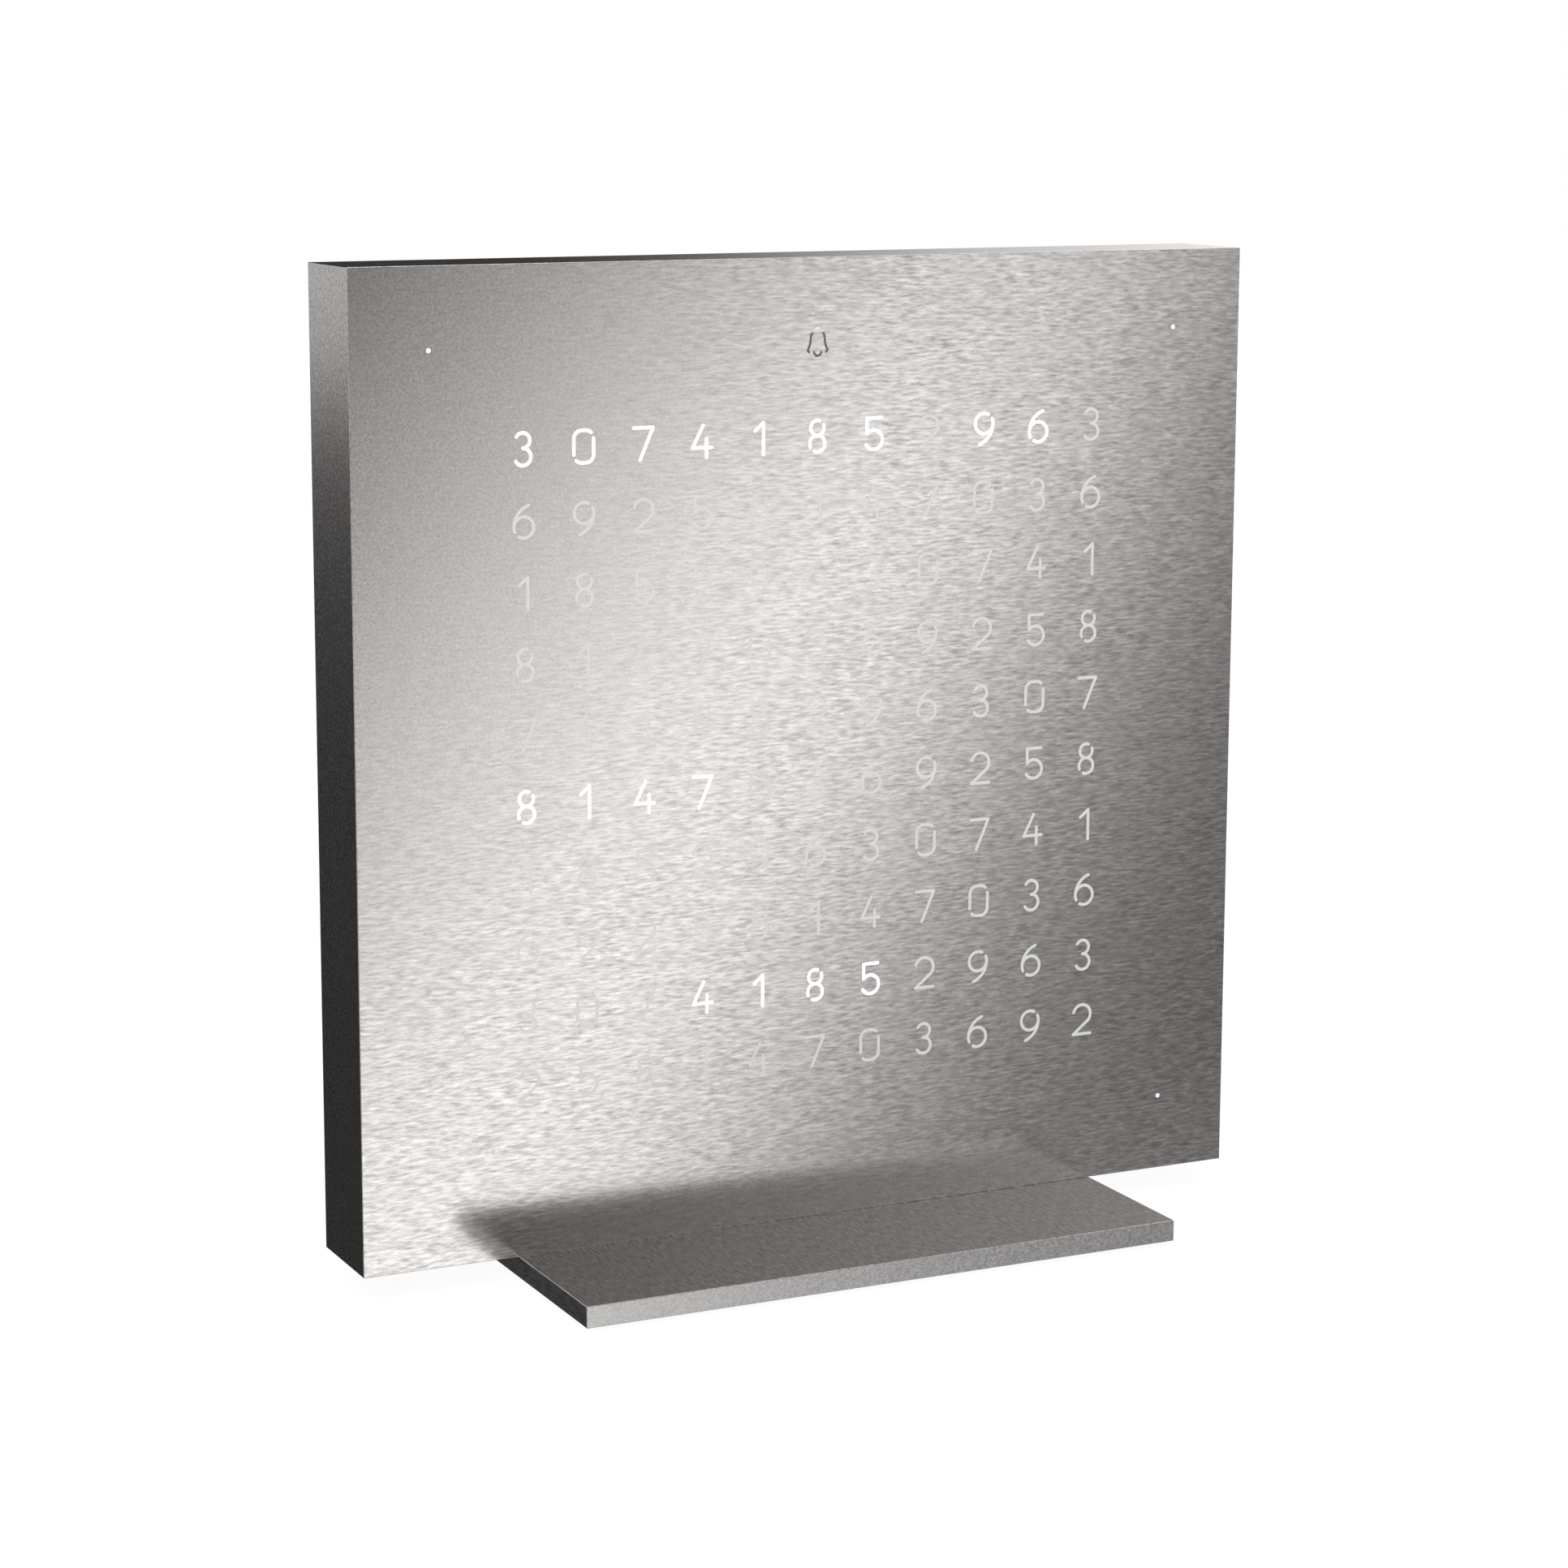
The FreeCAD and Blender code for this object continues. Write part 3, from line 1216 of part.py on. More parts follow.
def make_fasteners():
    """Studs, spacers and screws."""
    stud = face_backwards(
        turned(
            "stud",
            (
                ("0", "0"),
                ("Sizes.stud_diameter / 2", "0"),
                ("Sizes.stud_diameter / 2", "Level.board_back - Level.plate_back + Sizes.stud_bite"),
                ("0", "Level.board_back - Level.plate_back + Sizes.stud_bite"),
            ),
        )
    )
    doc.recompute()
    group("face_studs", stud, spots(stud_formulas()), "Level.plate_back")

    hexagon = doc.addObject("Part::Prism", "spacer_blank")
    hexagon.Polygon = 6
    hexagon.setExpression("Circumradius", "Sizes.spacer_width / sqrt(3)")
    hexagon.setExpression("Height", "Level.cover_front - Level.board_back")
    bore = doc.addObject("Part::Cylinder", "spacer_bore")
    bore.setExpression("Radius", "Sizes.stud_diameter / 2 + Sizes.thread_gap")
    bore.setExpression("Height", "Level.cover_front - Level.board_back")
    spacer = doc.addObject("Part::Cut", "spacer")
    spacer.Base = hexagon
    spacer.Tool = bore
    face_backwards(spacer)
    doc.recompute()
    group("board_spacers", spacer, spots(stud_formulas()), "Level.board_back")

    cover_screw = flat_head_screw(
        "cover_screw",
        "Sizes.stud_diameter",
        "Sizes.cover_screw_head",
        "Sizes.cover_screw_length",
        "Sizes.drive_width",
        "Sizes.drive_depth",
    )
    group("cover_screws", pointing_forwards(cover_screw), spots(stud_formulas()), "Level.cover_back")

    board_screw = turned(
        "board_screw",
        (
            ("0", "-Sizes.board_screw_head_height"),
            ("Sizes.board_screw_head / 2", "-Sizes.board_screw_head_height"),
            ("Sizes.board_screw_head / 2", "0"),
            ("Sizes.board_screw_diameter / 2", "0"),
            ("Sizes.board_screw_diameter / 2", "Sizes.board_thickness + Sizes.board_screw_bite"),
            ("0", "Sizes.board_thickness + Sizes.board_screw_bite"),
        ),
    )
    group("board_screws", pointing_forwards(board_screw), spots(board_screw_formulas()), "Level.board_back")


# The foot

def make_foot_block():
    """The threaded block inside the case that the foot is screwed to."""
    body = new_body("foot_block")
    sketch = new_sketch(body, "block_outline", "XY_Plane", "Level.inner_bottom")
    centred(sketch, "Sizes.foot_length", "Sizes.foot_depth")
    for x, y in foot_screw_formulas():
        circle(sketch, "Sizes.foot_screw_diameter + 2 * Sizes.thread_gap", x, y)
    pad(body, sketch, "Sizes.foot_height")
    return keep(body, "foot_block")


def make_base_plate():
    """The flat steel plate that the case stands on."""
    body = new_body("base_plate")
    sketch = new_sketch(body, "plate_outline", "XY_Plane", "Sizes.pad_thickness")
    centred(sketch, "Sizes.base_width", "Sizes.base_depth")
    plate = pad(body, sketch, "Sizes.base_thickness")
    round_edges(body, plate, "Sizes.base_edge_radius", lambda edge: True)
    sketch = new_sketch(body, "plate_screw_holes", "XY_Plane", "Sizes.pad_thickness")
    for x, y in foot_screw_formulas():
        circle(sketch, "Level.foot_screw_hole", x, y)
    countersunk_holes(body, sketch, "Level.foot_screw_hole", "Sizes.foot_screw_head + 2 * Sizes.thread_gap")
    return keep(body, "base_plate")


def make_foot_screws():
    """The two screws that hold the case on the foot plate, from below."""
    screw = flat_head_screw(
        "foot_screw",
        "Sizes.foot_screw_diameter",
        "Sizes.foot_screw_head",
        "Level.foot_screw_length",
        "Sizes.foot_drive_width",
        "Sizes.foot_drive_depth",
    )
    under = number("Sizes.pad_thickness")
    copies = [screw.Shape.translated(V(x, y, 0)) for x, y in spots(foot_screw_formulas())]
    feature = doc.addObject("Part::Feature", "foot_screws")
    feature.Shape = Part.makeCompound(copies)
    feature.Placement = FreeCAD.Placement(V(0, 0, under), FreeCAD.Rotation())
    return keep(feature, "foot_screws")


def make_base_pad():
    """The soft pad that the clock rests on."""
    pad_sheet = doc.addObject("Part::Box", "base_pad")
    pad_sheet.setExpression("Length", "Sizes.base_width - 2 * Sizes.pad_inset")
    pad_sheet.setExpression("Width", "Sizes.base_depth - 2 * Sizes.pad_inset")
    pad_sheet.setExpression("Height", "Sizes.pad_thickness")
    place(pad_sheet, "Sizes.pad_inset - Sizes.base_width / 2", "Sizes.pad_inset - Sizes.base_depth / 2", "0")
    return keep(pad_sheet, "base_pad")


def make_clock():
    """Every piece, from the face to the back and down to the foot."""
    numerals = numeral_slots()
    bell = bell_slots()
    make_face_shell(numerals + bell)
    make_inlay("numeral_inlays", numerals)
    make_inlay("bell_inlay", bell)
    make_diffuser()
    make_light_grid()
    make_board()
    make_lamps()
    make_chips()
    make_crystal()
    make_small_parts()
    make_coin_cell()
    make_sounder()
    make_power_socket()
    make_touch_spring()
    make_switches()
    for name, (x, z) in zip(BUTTONS, button_formulas()):
        make_button(name, x, z)
    make_rear_cover()
    make_label()
    make_fasteners()
    make_foot_block()
    make_base_plate()
    make_foot_screws()
    make_base_pad()


def check_document():
    """Stop at an object that failed or a piece with a bad shape."""
    doc.recompute()
    for item in doc.Objects:
        if "Invalid" in item.State or "Error" in item.State:
            raise ValueError(f"{item.Label} failed")
    for piece in nodes:
        if piece.Shape.isNull() or not piece.Shape.isValid() or not piece.Shape.Solids:
            raise ValueError(f"{piece.Label} has a bad shape")


def write_pieces():
    """Write each piece to a file of its own."""
    os.makedirs("parts", exist_ok=True)
    for piece in nodes:
        piece.Shape.exportStep(f"parts/{piece.Label}.step")
        print(f"{piece.Label}: {len(piece.Shape.Solids)} solids, {piece.Shape.Volume:.1f} cubic mm")


make_clock()
check_document()
write_pieces()
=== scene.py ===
"""The looks of a desk word clock: brushed steel case and foot, lit resin numerals, black back."""

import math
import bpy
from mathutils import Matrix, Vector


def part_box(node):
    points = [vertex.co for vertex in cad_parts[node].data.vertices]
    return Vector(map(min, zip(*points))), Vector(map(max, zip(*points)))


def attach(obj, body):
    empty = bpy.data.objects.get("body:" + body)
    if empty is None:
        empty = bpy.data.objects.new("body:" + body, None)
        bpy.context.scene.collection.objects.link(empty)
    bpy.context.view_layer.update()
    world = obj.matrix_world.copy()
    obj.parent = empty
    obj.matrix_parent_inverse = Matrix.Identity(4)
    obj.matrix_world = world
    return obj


bl_info = {
    "name": "Word clock",
    "version": (1, 0, 0),
    "blender": (4, 5, 0),
    "location": "3D View > Sidebar > Word clock",
    "description": "Dresses a word clock in steel, resin and plastic and puts it in a small studio",
    "category": "Object",
}

import bpy
import numpy as np
from bpy.props import FloatProperty, FloatVectorProperty, IntProperty, PointerProperty
from mathutils import Vector

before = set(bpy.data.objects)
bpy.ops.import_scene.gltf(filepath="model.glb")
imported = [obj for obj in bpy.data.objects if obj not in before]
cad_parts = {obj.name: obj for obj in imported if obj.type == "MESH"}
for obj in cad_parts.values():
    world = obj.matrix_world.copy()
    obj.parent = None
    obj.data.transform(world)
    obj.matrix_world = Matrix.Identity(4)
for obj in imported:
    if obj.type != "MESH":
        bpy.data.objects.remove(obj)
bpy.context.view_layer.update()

MM = 0.001

# The lit runs of the grid: row, first column, last column, counted from 1 at the top left.
LIT_RUNS = ((1, 1, 7), (1, 9, 10), (6, 1, 4), (9, 4, 7))

# The field that the numerals fill, measured between the middles of its outer cells.
COLUMNS = 11
ROWS = 10
COLUMN_PITCH = 8.67 * MM
ROW_PITCH = 9.63 * MM
FIELD_MIDDLE = 70.9 * MM

BUTTONS = ("hour", "minute", "alarm", "dimmer")

# The top left corner of the face, where the steel mirrors an even studio and the scratches' painted
# glints are faint: its middle, and the distances from it at which the painted glints set in and are full.
QUIET_GLINT_MIDDLE = (-70 * MM, 0, 115 * MM)
QUIET_GLINT_REACH = (20 * MM, 90 * MM)

# The strip over the foot, where the steel mirrors the dark foot and the scratches' painted glints are
# faint: the heights at which the painted glints set in and are full, how far inside the foot's side the
# strip ends, and half the foot's width.
STRIP_HEIGHTS = (5 * MM, 17 * MM)
STRIP_END = 10 * MM
FOOT_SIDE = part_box("base_plate")[1].x

# The round soft cards that the steel mirrors. Azimuth runs from -Y towards +X, and a card is full
# within its inner angle and ends at its outer one, all in degrees.
FRONT_DARK_CARD = dict(azimuth=21.5, elevation=8.5, inner=28, outer=30, brightness=0.035)
HIGH_PALE_CARD = dict(azimuth=43, elevation=29, inner=6.5, outer=25.5, brightness=0.76)
BACK_DARK_CARD = dict(azimuth=170.5, elevation=14.5, inner=17.5, outer=21, brightness=0)
LOW_DARK_CARD = dict(azimuth=198, elevation=-23, inner=18, outer=19, brightness=0.03)
WHITE_CARD = dict(azimuth=134.5, elevation=13, inner=13.5, outer=18, brightness=1.2)

# The tilted band of light: where it crosses the horizon and how far it leans, in degrees, where its
# soft left and right edges start and end, and the heights between which its strength falls. Edges and
# heights are sines of angles.
BAND_TURN = 31.5
BAND_LEAN = 28
BAND_RISE = (-0.205, 0.05)
BAND_FALL = (0.013, 0.05)
BAND_HEIGHTS = (-0.135, 0.12)
BAND_STRENGTHS = (2.2, 0.46)

# How bright the studio is behind its cards and band, from low to high.
WALL_HEIGHTS = (-0.6, 0.9)
WALL_LEVELS = (0.45, 0.85)

# Where the lamps hang.
KEY_LAMP_PLACE = (-0.7, -0.9, 1.0)
FILL_LAMP_PLACE = (0.5, 0.9, 1.7)

# The floor as the camera sees it: the share of its own white, and how strong that white is.
FLOOR_SHARE = 0.88
FLOOR_WHITE = 1.06


def linear(colour):
    """The linear red, green, blue and alpha of an sRGB hex colour."""
    shares = [int(colour[i : i + 2], 16) / 255 for i in (1, 3, 5)]
    return [c / 12.92 if c <= 0.04045 else ((c + 0.055) / 1.055) ** 2.4 for c in shares] + [1.0]


def add(tree, kind, inputs=None, **settings):
    """One new node of a kind, its settings set, and its inputs given values or linked to sockets."""
    made = tree.nodes.new("ShaderNode" + kind)
    for name, value in settings.items():
        setattr(made, name, value)
    for name, value in (inputs or {}).items():
        if isinstance(value, bpy.types.NodeSocket):
            tree.links.new(value, made.inputs[name])
        else:
            made.inputs[name].default_value = value
    return made


def new_material(name):
    """An empty node material, and its tree."""
    material = bpy.data.materials.new(name)
    material.use_nodes = True
    material.node_tree.nodes.clear()
    return material, material.node_tree


def show(tree, shader):
    """Links a finished shader to the material's output."""
    add(tree, "OutputMaterial", {"Surface": shader})


def cells(tree, width, height, depth=None):
    """Object coordinates counted in cells of a pattern: width along X, height along Z, depth along Y."""
    place = add(tree, "TexCoord").outputs["Object"]
    scale = (1 / width, 1 / (depth or height), 1 / height)
    return add(tree, "Mapping", {"Vector": place, "Scale": scale}).outputs["Vector"]


def noise(tree, vector, detail=2.0, roughness=0.5):
    """Soft noise of one unit's grain, from 0 to 1."""
    values = {"Vector": vector, "Scale": 1.0, "Detail": detail, "Roughness": roughness}
    return add(tree, "TexNoise", values).outputs["Fac"]


def maths(tree, operation, *values):
    """One step of arithmetic on sockets or numbers."""
    made = add(tree, "Math", dict(enumerate(values)), operation=operation)
    return made.outputs["Value"]


def dot(tree, vector, along):
    """How far a vector points along a fixed direction."""
    return add(tree, "VectorMath", {0: vector, 1: along}, operation="DOT_PRODUCT").outputs["Value"]


def ranged(tree, value, low, high, out_low, out_high, smooth=False):
    """A value carried from one range to another, and held at its ends."""
    kind = "SMOOTHSTEP" if smooth else "LINEAR"
    values = {"Value": value, "From Min": low, "From Max": high, "To Min": out_low, "To Max": out_high}
    return add(tree, "MapRange", values, interpolation_type=kind).outputs["Result"]


def between(tree, share, dark, light):
    """The colour between two hex colours at a share."""
    mix = add(tree, "Mix", data_type="RGBA")
    tree.links.new(share, mix.inputs["Factor"])
    mix.inputs["A"].default_value = linear(dark)
    mix.inputs["B"].default_value = linear(light)
    return mix.outputs["Result"]


def bumped(tree, height, depth):
    """The surface direction under a height pattern of a depth in metres."""
    return add(tree, "Bump", {"Height": height, "Strength": 1.0, "Distance": depth}).outputs["Normal"]


def principled(tree, **values):
    """A Principled shader: each value goes to the socket of its name, with spaces for underscores."""
    inputs = {name.replace("_", " "): value for name, value in values.items()}
    return add(tree, "BsdfPrincipled", inputs).outputs["BSDF"]


def mixed(tree, share, first, second):
    """A number between two numbers or sockets, at a share."""
    return add(tree, "Mix", {"Factor": share, "A": first, "B": second}, data_type="FLOAT").outputs["Result"]


def brushed_stainless(settings):
    """Stainless sheet, belt-brushed along its width: short lens-shaped scratches glint and darken in turn.

    The scratches' glints and dark flecks are painted into the colour as well as bumped. These painted
    glints are faint on the top left of the face and just over the foot, where the steel mirrors an even
    studio or the dark foot. The folded sides keep the sheet's fine even grain.
    """
    material, tree = new_material("brushed_stainless_sheet")
    # Real scratches are about 0.05 mm wide. They are drawn wider, so that a render shows them.
    scratches = noise(tree, cells(tree, settings.scratch_length, settings.scratch_width), 3.0, 0.65)
    patches = noise(tree, cells(tree, 9 * MM, 4 * MM), 1.0)
    grain = noise(tree, cells(tree, 0.4 * MM, 0.35 * MM), 2.0, 0.6)
    coordinates = add(tree, "TexCoord")
    middle = {0: coordinates.outputs["Object"], 1: QUIET_GLINT_MIDDLE}
    away = add(tree, "VectorMath", middle, operation="DISTANCE").outputs["Value"]
    # Painted glints: the scratches' glints are painted into the colour, faint near the top left corner and
    # over the foot, where the steel mirrors an even studio or the dark foot.
    corner = ranged(tree, away, *QUIET_GLINT_REACH, 0.1, 1, smooth=True)
    place = add(tree, "SeparateXYZ", {"Vector": coordinates.outputs["Object"]})
    strip = ranged(tree, place.outputs["Z"], *STRIP_HEIGHTS, 0.35, 1, smooth=True)
    side = maths(tree, "ABSOLUTE", place.outputs["X"])
    beside = ranged(tree, side, FOOT_SIDE - STRIP_END, FOOT_SIDE, 0, 1)
    glint_share = maths(tree, "MULTIPLY", corner, maths(tree, "MAXIMUM", strip, beside))
    glint_share = maths(tree, "MULTIPLY", glint_share, ranged(tree, patches, 0.35, 0.65, 0.7, 1))
    facing = add(tree, "SeparateXYZ", {"Vector": coordinates.outputs["Normal"]}).outputs["Y"]
    front = ranged(tree, maths(tree, "ABSOLUTE", facing), 0.6, 0.9, 0, 1)
    streaks = mixed(tree, glint_share, mixed(tree, 0.37, 0.5, grain), scratches)
    shade = mixed(tree, front, grain, streaks)
    # The colour holds the sheet's own grain and the scratches' painted glints.
    colour = between(tree, ranged(tree, shade, 0.3, 0.7, 0, 1), "#a3a09e", "#efebe8")
    rough = ranged(tree, grain, 0.3, 0.7, settings.steel_roughness - 0.01, settings.steel_roughness + 0.01)
    normal = bumped(tree, maths(tree, "MULTIPLY", streaks, front), settings.scratch_depth)
    show(tree, principled(tree, Base_Color=colour, Metallic=1.0, Roughness=rough, Normal=normal))
    return material


def satin_stainless(settings):
    """Laser-cut stainless plate, satin-ground: a fine even grain without visible scratches."""
    material, tree = new_material("satin_stainless_plate")
    # The grain is drawn long towards the back and strong on top, so that it still shows at a low angle.
    grain = noise(tree, cells(tree, 0.4 * MM, 0.3 * MM, 1.8 * MM), 2.0, 0.6)
    facing = add(tree, "SeparateXYZ", {"Vector": add(tree, "TexCoord").outputs["Normal"]}).outputs["Z"]
    contrast = ranged(tree, facing, 0.6, 0.9, 0.42, 0.7)
    shade = mixed(tree, contrast, 0.5, ranged(tree, grain, 0.3, 0.7, 0, 1))
    colour = between(tree, shade, "#9c9a99", "#e6e4e3")
    rough = ranged(tree, grain, 0.3, 0.7, settings.steel_roughness + 0.04, settings.steel_roughness + 0.08)
    normal = bumped(tree, grain, 0.002 * MM)
    show(tree, principled(tree, Base_Color=colour, Metallic=1.0, Roughness=rough, Normal=normal))
    return material


def milky_epoxy():
    """Milky epoxy cast flush into the slots: pale, faintly cloudy, a little light seen in its depth."""
    material, tree = new_material("milky_cast_epoxy")
    cloud = noise(tree, cells(tree, 0.8 * MM, 0.8 * MM), 2.0)
    colour = between(tree, cloud, "#e0e1dd", "#ebeae7")
    rough = ranged(tree, cloud, 0, 1, 0.32, 0.42)
    values = {"Subsurface_Weight": 0.15, "Subsurface_Radius": (0.6 * MM,) * 3, "Subsurface_Scale": 1.0}
    show(tree, principled(tree, Base_Color=colour, Roughness=rough, IOR=1.52, **values))
    return material


def smoked_epoxy():
    """Smoked epoxy cast into the bell: dark grey, with painted light on its crown, which is painted pale."""
    material, tree = new_material("smoked_cast_epoxy")
    low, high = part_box("bell_inlay")
    height = add(tree, "SeparateXYZ", {"Vector": add(tree, "TexCoord").outputs["Object"]}).outputs["Z"]
    # Painted light: the top of the bell is painted pale, as if it caught light.
    painted_crown_light = ranged(tree, height, high.z - 0.9 * MM, high.z - 0.5 * MM, 0, 1, smooth=True)
    colour = between(tree, painted_crown_light, "#6a6867", "#f2f1ee")
    rough = ranged(tree, noise(tree, cells(tree, 0.3 * MM, 0.3 * MM)), 0, 1, 0.3, 0.4)
    show(tree, principled(tree, Base_Color=colour, Roughness=rough, IOR=1.52))
    return material


def glowing_epoxy(settings):
    """Milky epoxy over a lit lamp: white, its sideways-facing rim glowing in a cool painted glow fringe."""
    material, tree = new_material("lit_cast_epoxy")
    facing = add(tree, "SeparateXYZ", {"Vector": add(tree, "TexCoord").outputs["Normal"]}).outputs["Y"]
    # Painted glow: the lens rim glows cool blue, standing for the halo of light around a lit numeral.
    flat = ranged(tree, facing, -0.95, -0.4, 1, 0, smooth=True)
    colour = between(tree, flat, "#c9cfff", "#fbfcff")
    values = {"Emission_Color": colour, "Emission_Strength": settings.lit_strength}
    show(tree, principled(tree, Base_Color=colour, Roughness=0.35, IOR=1.52, **values))
    return material


def moulded(name, dark, light, roughness, grain, depth):
    """Moulded plastic: the mould's spark-eroded grain breaks up a soft shine."""
    material, tree = new_material(name)
    pattern = noise(tree, cells(tree, grain, grain), 3.0, 0.6)
    colour = between(tree, ranged(tree, pattern, 0.3, 0.7, 0, 1), dark, light)
    rough = ranged(tree, pattern, 0.3, 0.7, roughness - 0.05, roughness + 0.05)
    normal = bumped(tree, pattern, depth)
    show(tree, principled(tree, Base_Color=colour, Roughness=rough, IOR=1.5, Normal=normal))
    return material


def worked_metal(name, dark, light, roughness, width, height, depth):
    """Turned, stamped or drawn metal: faint lines from the tool along its length."""
    material, tree = new_material(name)
    pattern = noise(tree, cells(tree, width, height), 2.0)
    colour = between(tree, ranged(tree, pattern, 0.3, 0.7, 0, 1), dark, light)
    rough = ranged(tree, pattern, 0.3, 0.7, roughness - 0.04, roughness + 0.04)
    normal = bumped(tree, pattern, depth)
    show(tree, principled(tree, Base_Color=colour, Metallic=1.0, Roughness=rough, Normal=normal))
    return material


def blackened_steel(name):
    """Blackened screws: dark oxide over fine turned lines."""
    return worked_metal(name, "#3a3a3c", "#525254", 0.4, 0.4 * MM, 0.4 * MM, 0.003 * MM)


def dress(material, *nodes):
    """Gives CAD nodes a material in every one of their slots."""
    for name in nodes:
        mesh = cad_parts[name].data
        if not mesh.materials:
            mesh.materials.append(material)
        for i in range(len(mesh.materials)):
            mesh.materials[i] = material


def lit_areas():
    """The lit parts of the face, in metres: lowest X, highest X, lowest Z and highest Z of each."""
    low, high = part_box("numeral_inlays")
    left = -(COLUMNS - 1) / 2 * COLUMN_PITCH
    top = FIELD_MIDDLE + (ROWS - 1) / 2 * ROW_PITCH
    areas = []
    for row, first, last in LIT_RUNS:
        middle = top - (row - 1) * ROW_PITCH
        start = left + (first - 1.5) * COLUMN_PITCH
        end = left + (last - 0.5) * COLUMN_PITCH
        areas.append((start, end, middle - ROW_PITCH / 2, middle + ROW_PITCH / 2))
    reach = 1.5 * MM
    for x, z in ((low.x, high.z), (high.x, high.z), (high.x, low.z)):
        areas.append((x - reach, x + reach, z - reach, z + reach))
    return areas


def lit_front():
    """The lit slots' front triangles: merged points, and the corners of each triangle."""
    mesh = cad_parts["numeral_inlays"].data
    mesh.calc_loop_triangles()
    points = np.empty(len(mesh.vertices) * 3, np.float32)
    mesh.vertices.foreach_get("co", points)
    corners = np.empty(len(mesh.loop_triangles) * 3, np.int32)
    mesh.loop_triangles.foreach_get("vertices", corners)
    points = points.reshape(-1, 3).astype(float)
    front = points[:, 1].min()
    steps = np.round(points / (0.001 * MM))
    _, first, merged = np.unique(steps, axis=0, return_index=True, return_inverse=True)
    points = points[first]
    triangles = merged.ravel()[corners].reshape(-1, 3)
    level = np.abs(points[triangles][:, :, 1] - front).max(axis=1) < 0.01 * MM
    middle = points[triangles].mean(axis=1)
    lit = np.zeros(len(triangles), bool)
    for x0, x1, z0, z1 in lit_areas():
        inside = (middle[:, 0] > x0) & (middle[:, 0] < x1) & (middle[:, 2] > z0) & (middle[:, 2] < z1)
        lit |= inside
    used, renumbered = np.unique(triangles[level & lit], return_inverse=True)
    return points[used], renumbered.reshape(-1, 3)


def lens_mesh(points, triangles, spread, lift, rings):
    """A low lens over each slot. Its rim is a quarter ellipse carried along the slot's outline.

    At angle a from 0 to 90 degrees, the outline moves out by spread times cos a and forwards by
    lift times sin a. The slot's own triangles close the top at full lift and the flat underside.
    """
    edges = np.concatenate([triangles[:, [0, 1]], triangles[:, [1, 2]], triangles[:, [2, 0]]])
    count = len(points)
    twins = np.isin(edges[:, 0] * count + edges[:, 1], edges[:, 1] * count + edges[:, 0])
    rim = edges[~twins]
    along = points[rim[:, 1]] - points[rim[:, 0]]
    along /= np.linalg.norm(along, axis=1)[:, None]
    out = np.stack([along[:, 2], np.zeros(len(rim)), -along[:, 0]], axis=1)
    total = np.zeros_like(points)
    np.add.at(total, rim[:, 0], out)
    np.add.at(total, rim[:, 1], out)
    square = np.maximum((total**2).sum(axis=1), 0.5)
    outward = total * (2 / square)[:, None]
    angles = np.linspace(0, math.pi / 2, rings + 1)
    layers = [points + outward * spread * math.cos(a) - [0, lift * math.sin(a), 0] for a in angles]
    layers[-1] = points - [0, lift, 0]
    stack = np.concatenate(layers + [points])
    a, b = rim[:, 0], rim[:, 1]
    walls = [
        np.stack([b + j + count, a + j + count, a + j, b + j], axis=1)
        for j in count * np.arange(rings)
    ]
    under = count * (rings + 1)
    walls.append(np.stack([b, a, a + under, b + under], axis=1))
    faces = np.concatenate(walls).tolist()
    faces += (triangles + count * rings).tolist()
    faces += (triangles[:, ::-1] + under).tolist()
    used = np.unique(np.concatenate([np.ravel(face) for face in faces]))
    number = np.full(len(stack), -1)
    number[used] = np.arange(len(used))
    mesh = bpy.data.meshes.new("lit_numerals")
    mesh.from_pydata(stack[used].tolist(), [], [number[face].tolist() for face in faces])
    mesh.validate()
    return mesh


def card(tree, level, direction, azimuth, elevation, inner, outer, brightness):
    """A studio level with one round soft-edged card in it.

    The card's middle is at an azimuth, in degrees from -Y towards +X, and an elevation. It has full
    brightness within the inner angle, and none of it is left outside the outer angle.
    """
    turn, rise = math.radians(azimuth), math.radians(elevation)
    middle = (math.sin(turn) * math.cos(rise), -math.cos(turn) * math.cos(rise), math.sin(rise))
    closeness = dot(tree, direction, middle)
    edges = (math.cos(math.radians(outer)), math.cos(math.radians(inner)))
    share = ranged(tree, closeness, *edges, 0, 1, smooth=True)
    return mixed(tree, share, level, brightness)


def studio_level(tree):
    """How bright the studio is in each direction, as the steel mirrors it.

    A tilted soft band of light stands low at the front right, before a dark card, and a pale card hangs
    over them. Two dark cards stand behind the clock, one of them low, and a white one at the back right.
    """
    direction = add(tree, "TexCoord").outputs["Generated"]
    parts = add(tree, "SeparateXYZ", {"Vector": direction})
    level = ranged(tree, parts.outputs["Z"], *WALL_HEIGHTS, *WALL_LEVELS)
    level = card(tree, level, direction, **FRONT_DARK_CARD)
    across = dot(tree, direction, band_across())
    rise = ranged(tree, across, *BAND_RISE, 0, 1, smooth=True)
    fall = ranged(tree, across, *BAND_FALL, 1, 0, smooth=True)
    strength = ranged(tree, parts.outputs["Z"], *BAND_HEIGHTS, *BAND_STRENGTHS, smooth=True)
    front = ranged(tree, parts.outputs["Y"], -0.5, 0, 1, 0, smooth=True)
    width = maths(tree, "MULTIPLY", rise, fall)
    band = maths(tree, "MULTIPLY", width, maths(tree, "MULTIPLY", strength, front))
    level = maths(tree, "ADD", level, band)
    for place in (HIGH_PALE_CARD, BACK_DARK_CARD, LOW_DARK_CARD, WHITE_CARD):
        level = card(tree, level, direction, **place)
    return level


def band_across():
    """The direction across the tilted band of light, at right angles to its plane."""
    turn, lean = math.radians(BAND_TURN), math.radians(BAND_LEAN)
    return (math.cos(turn) * math.cos(lean), math.sin(turn) * math.cos(lean), -math.sin(lean))


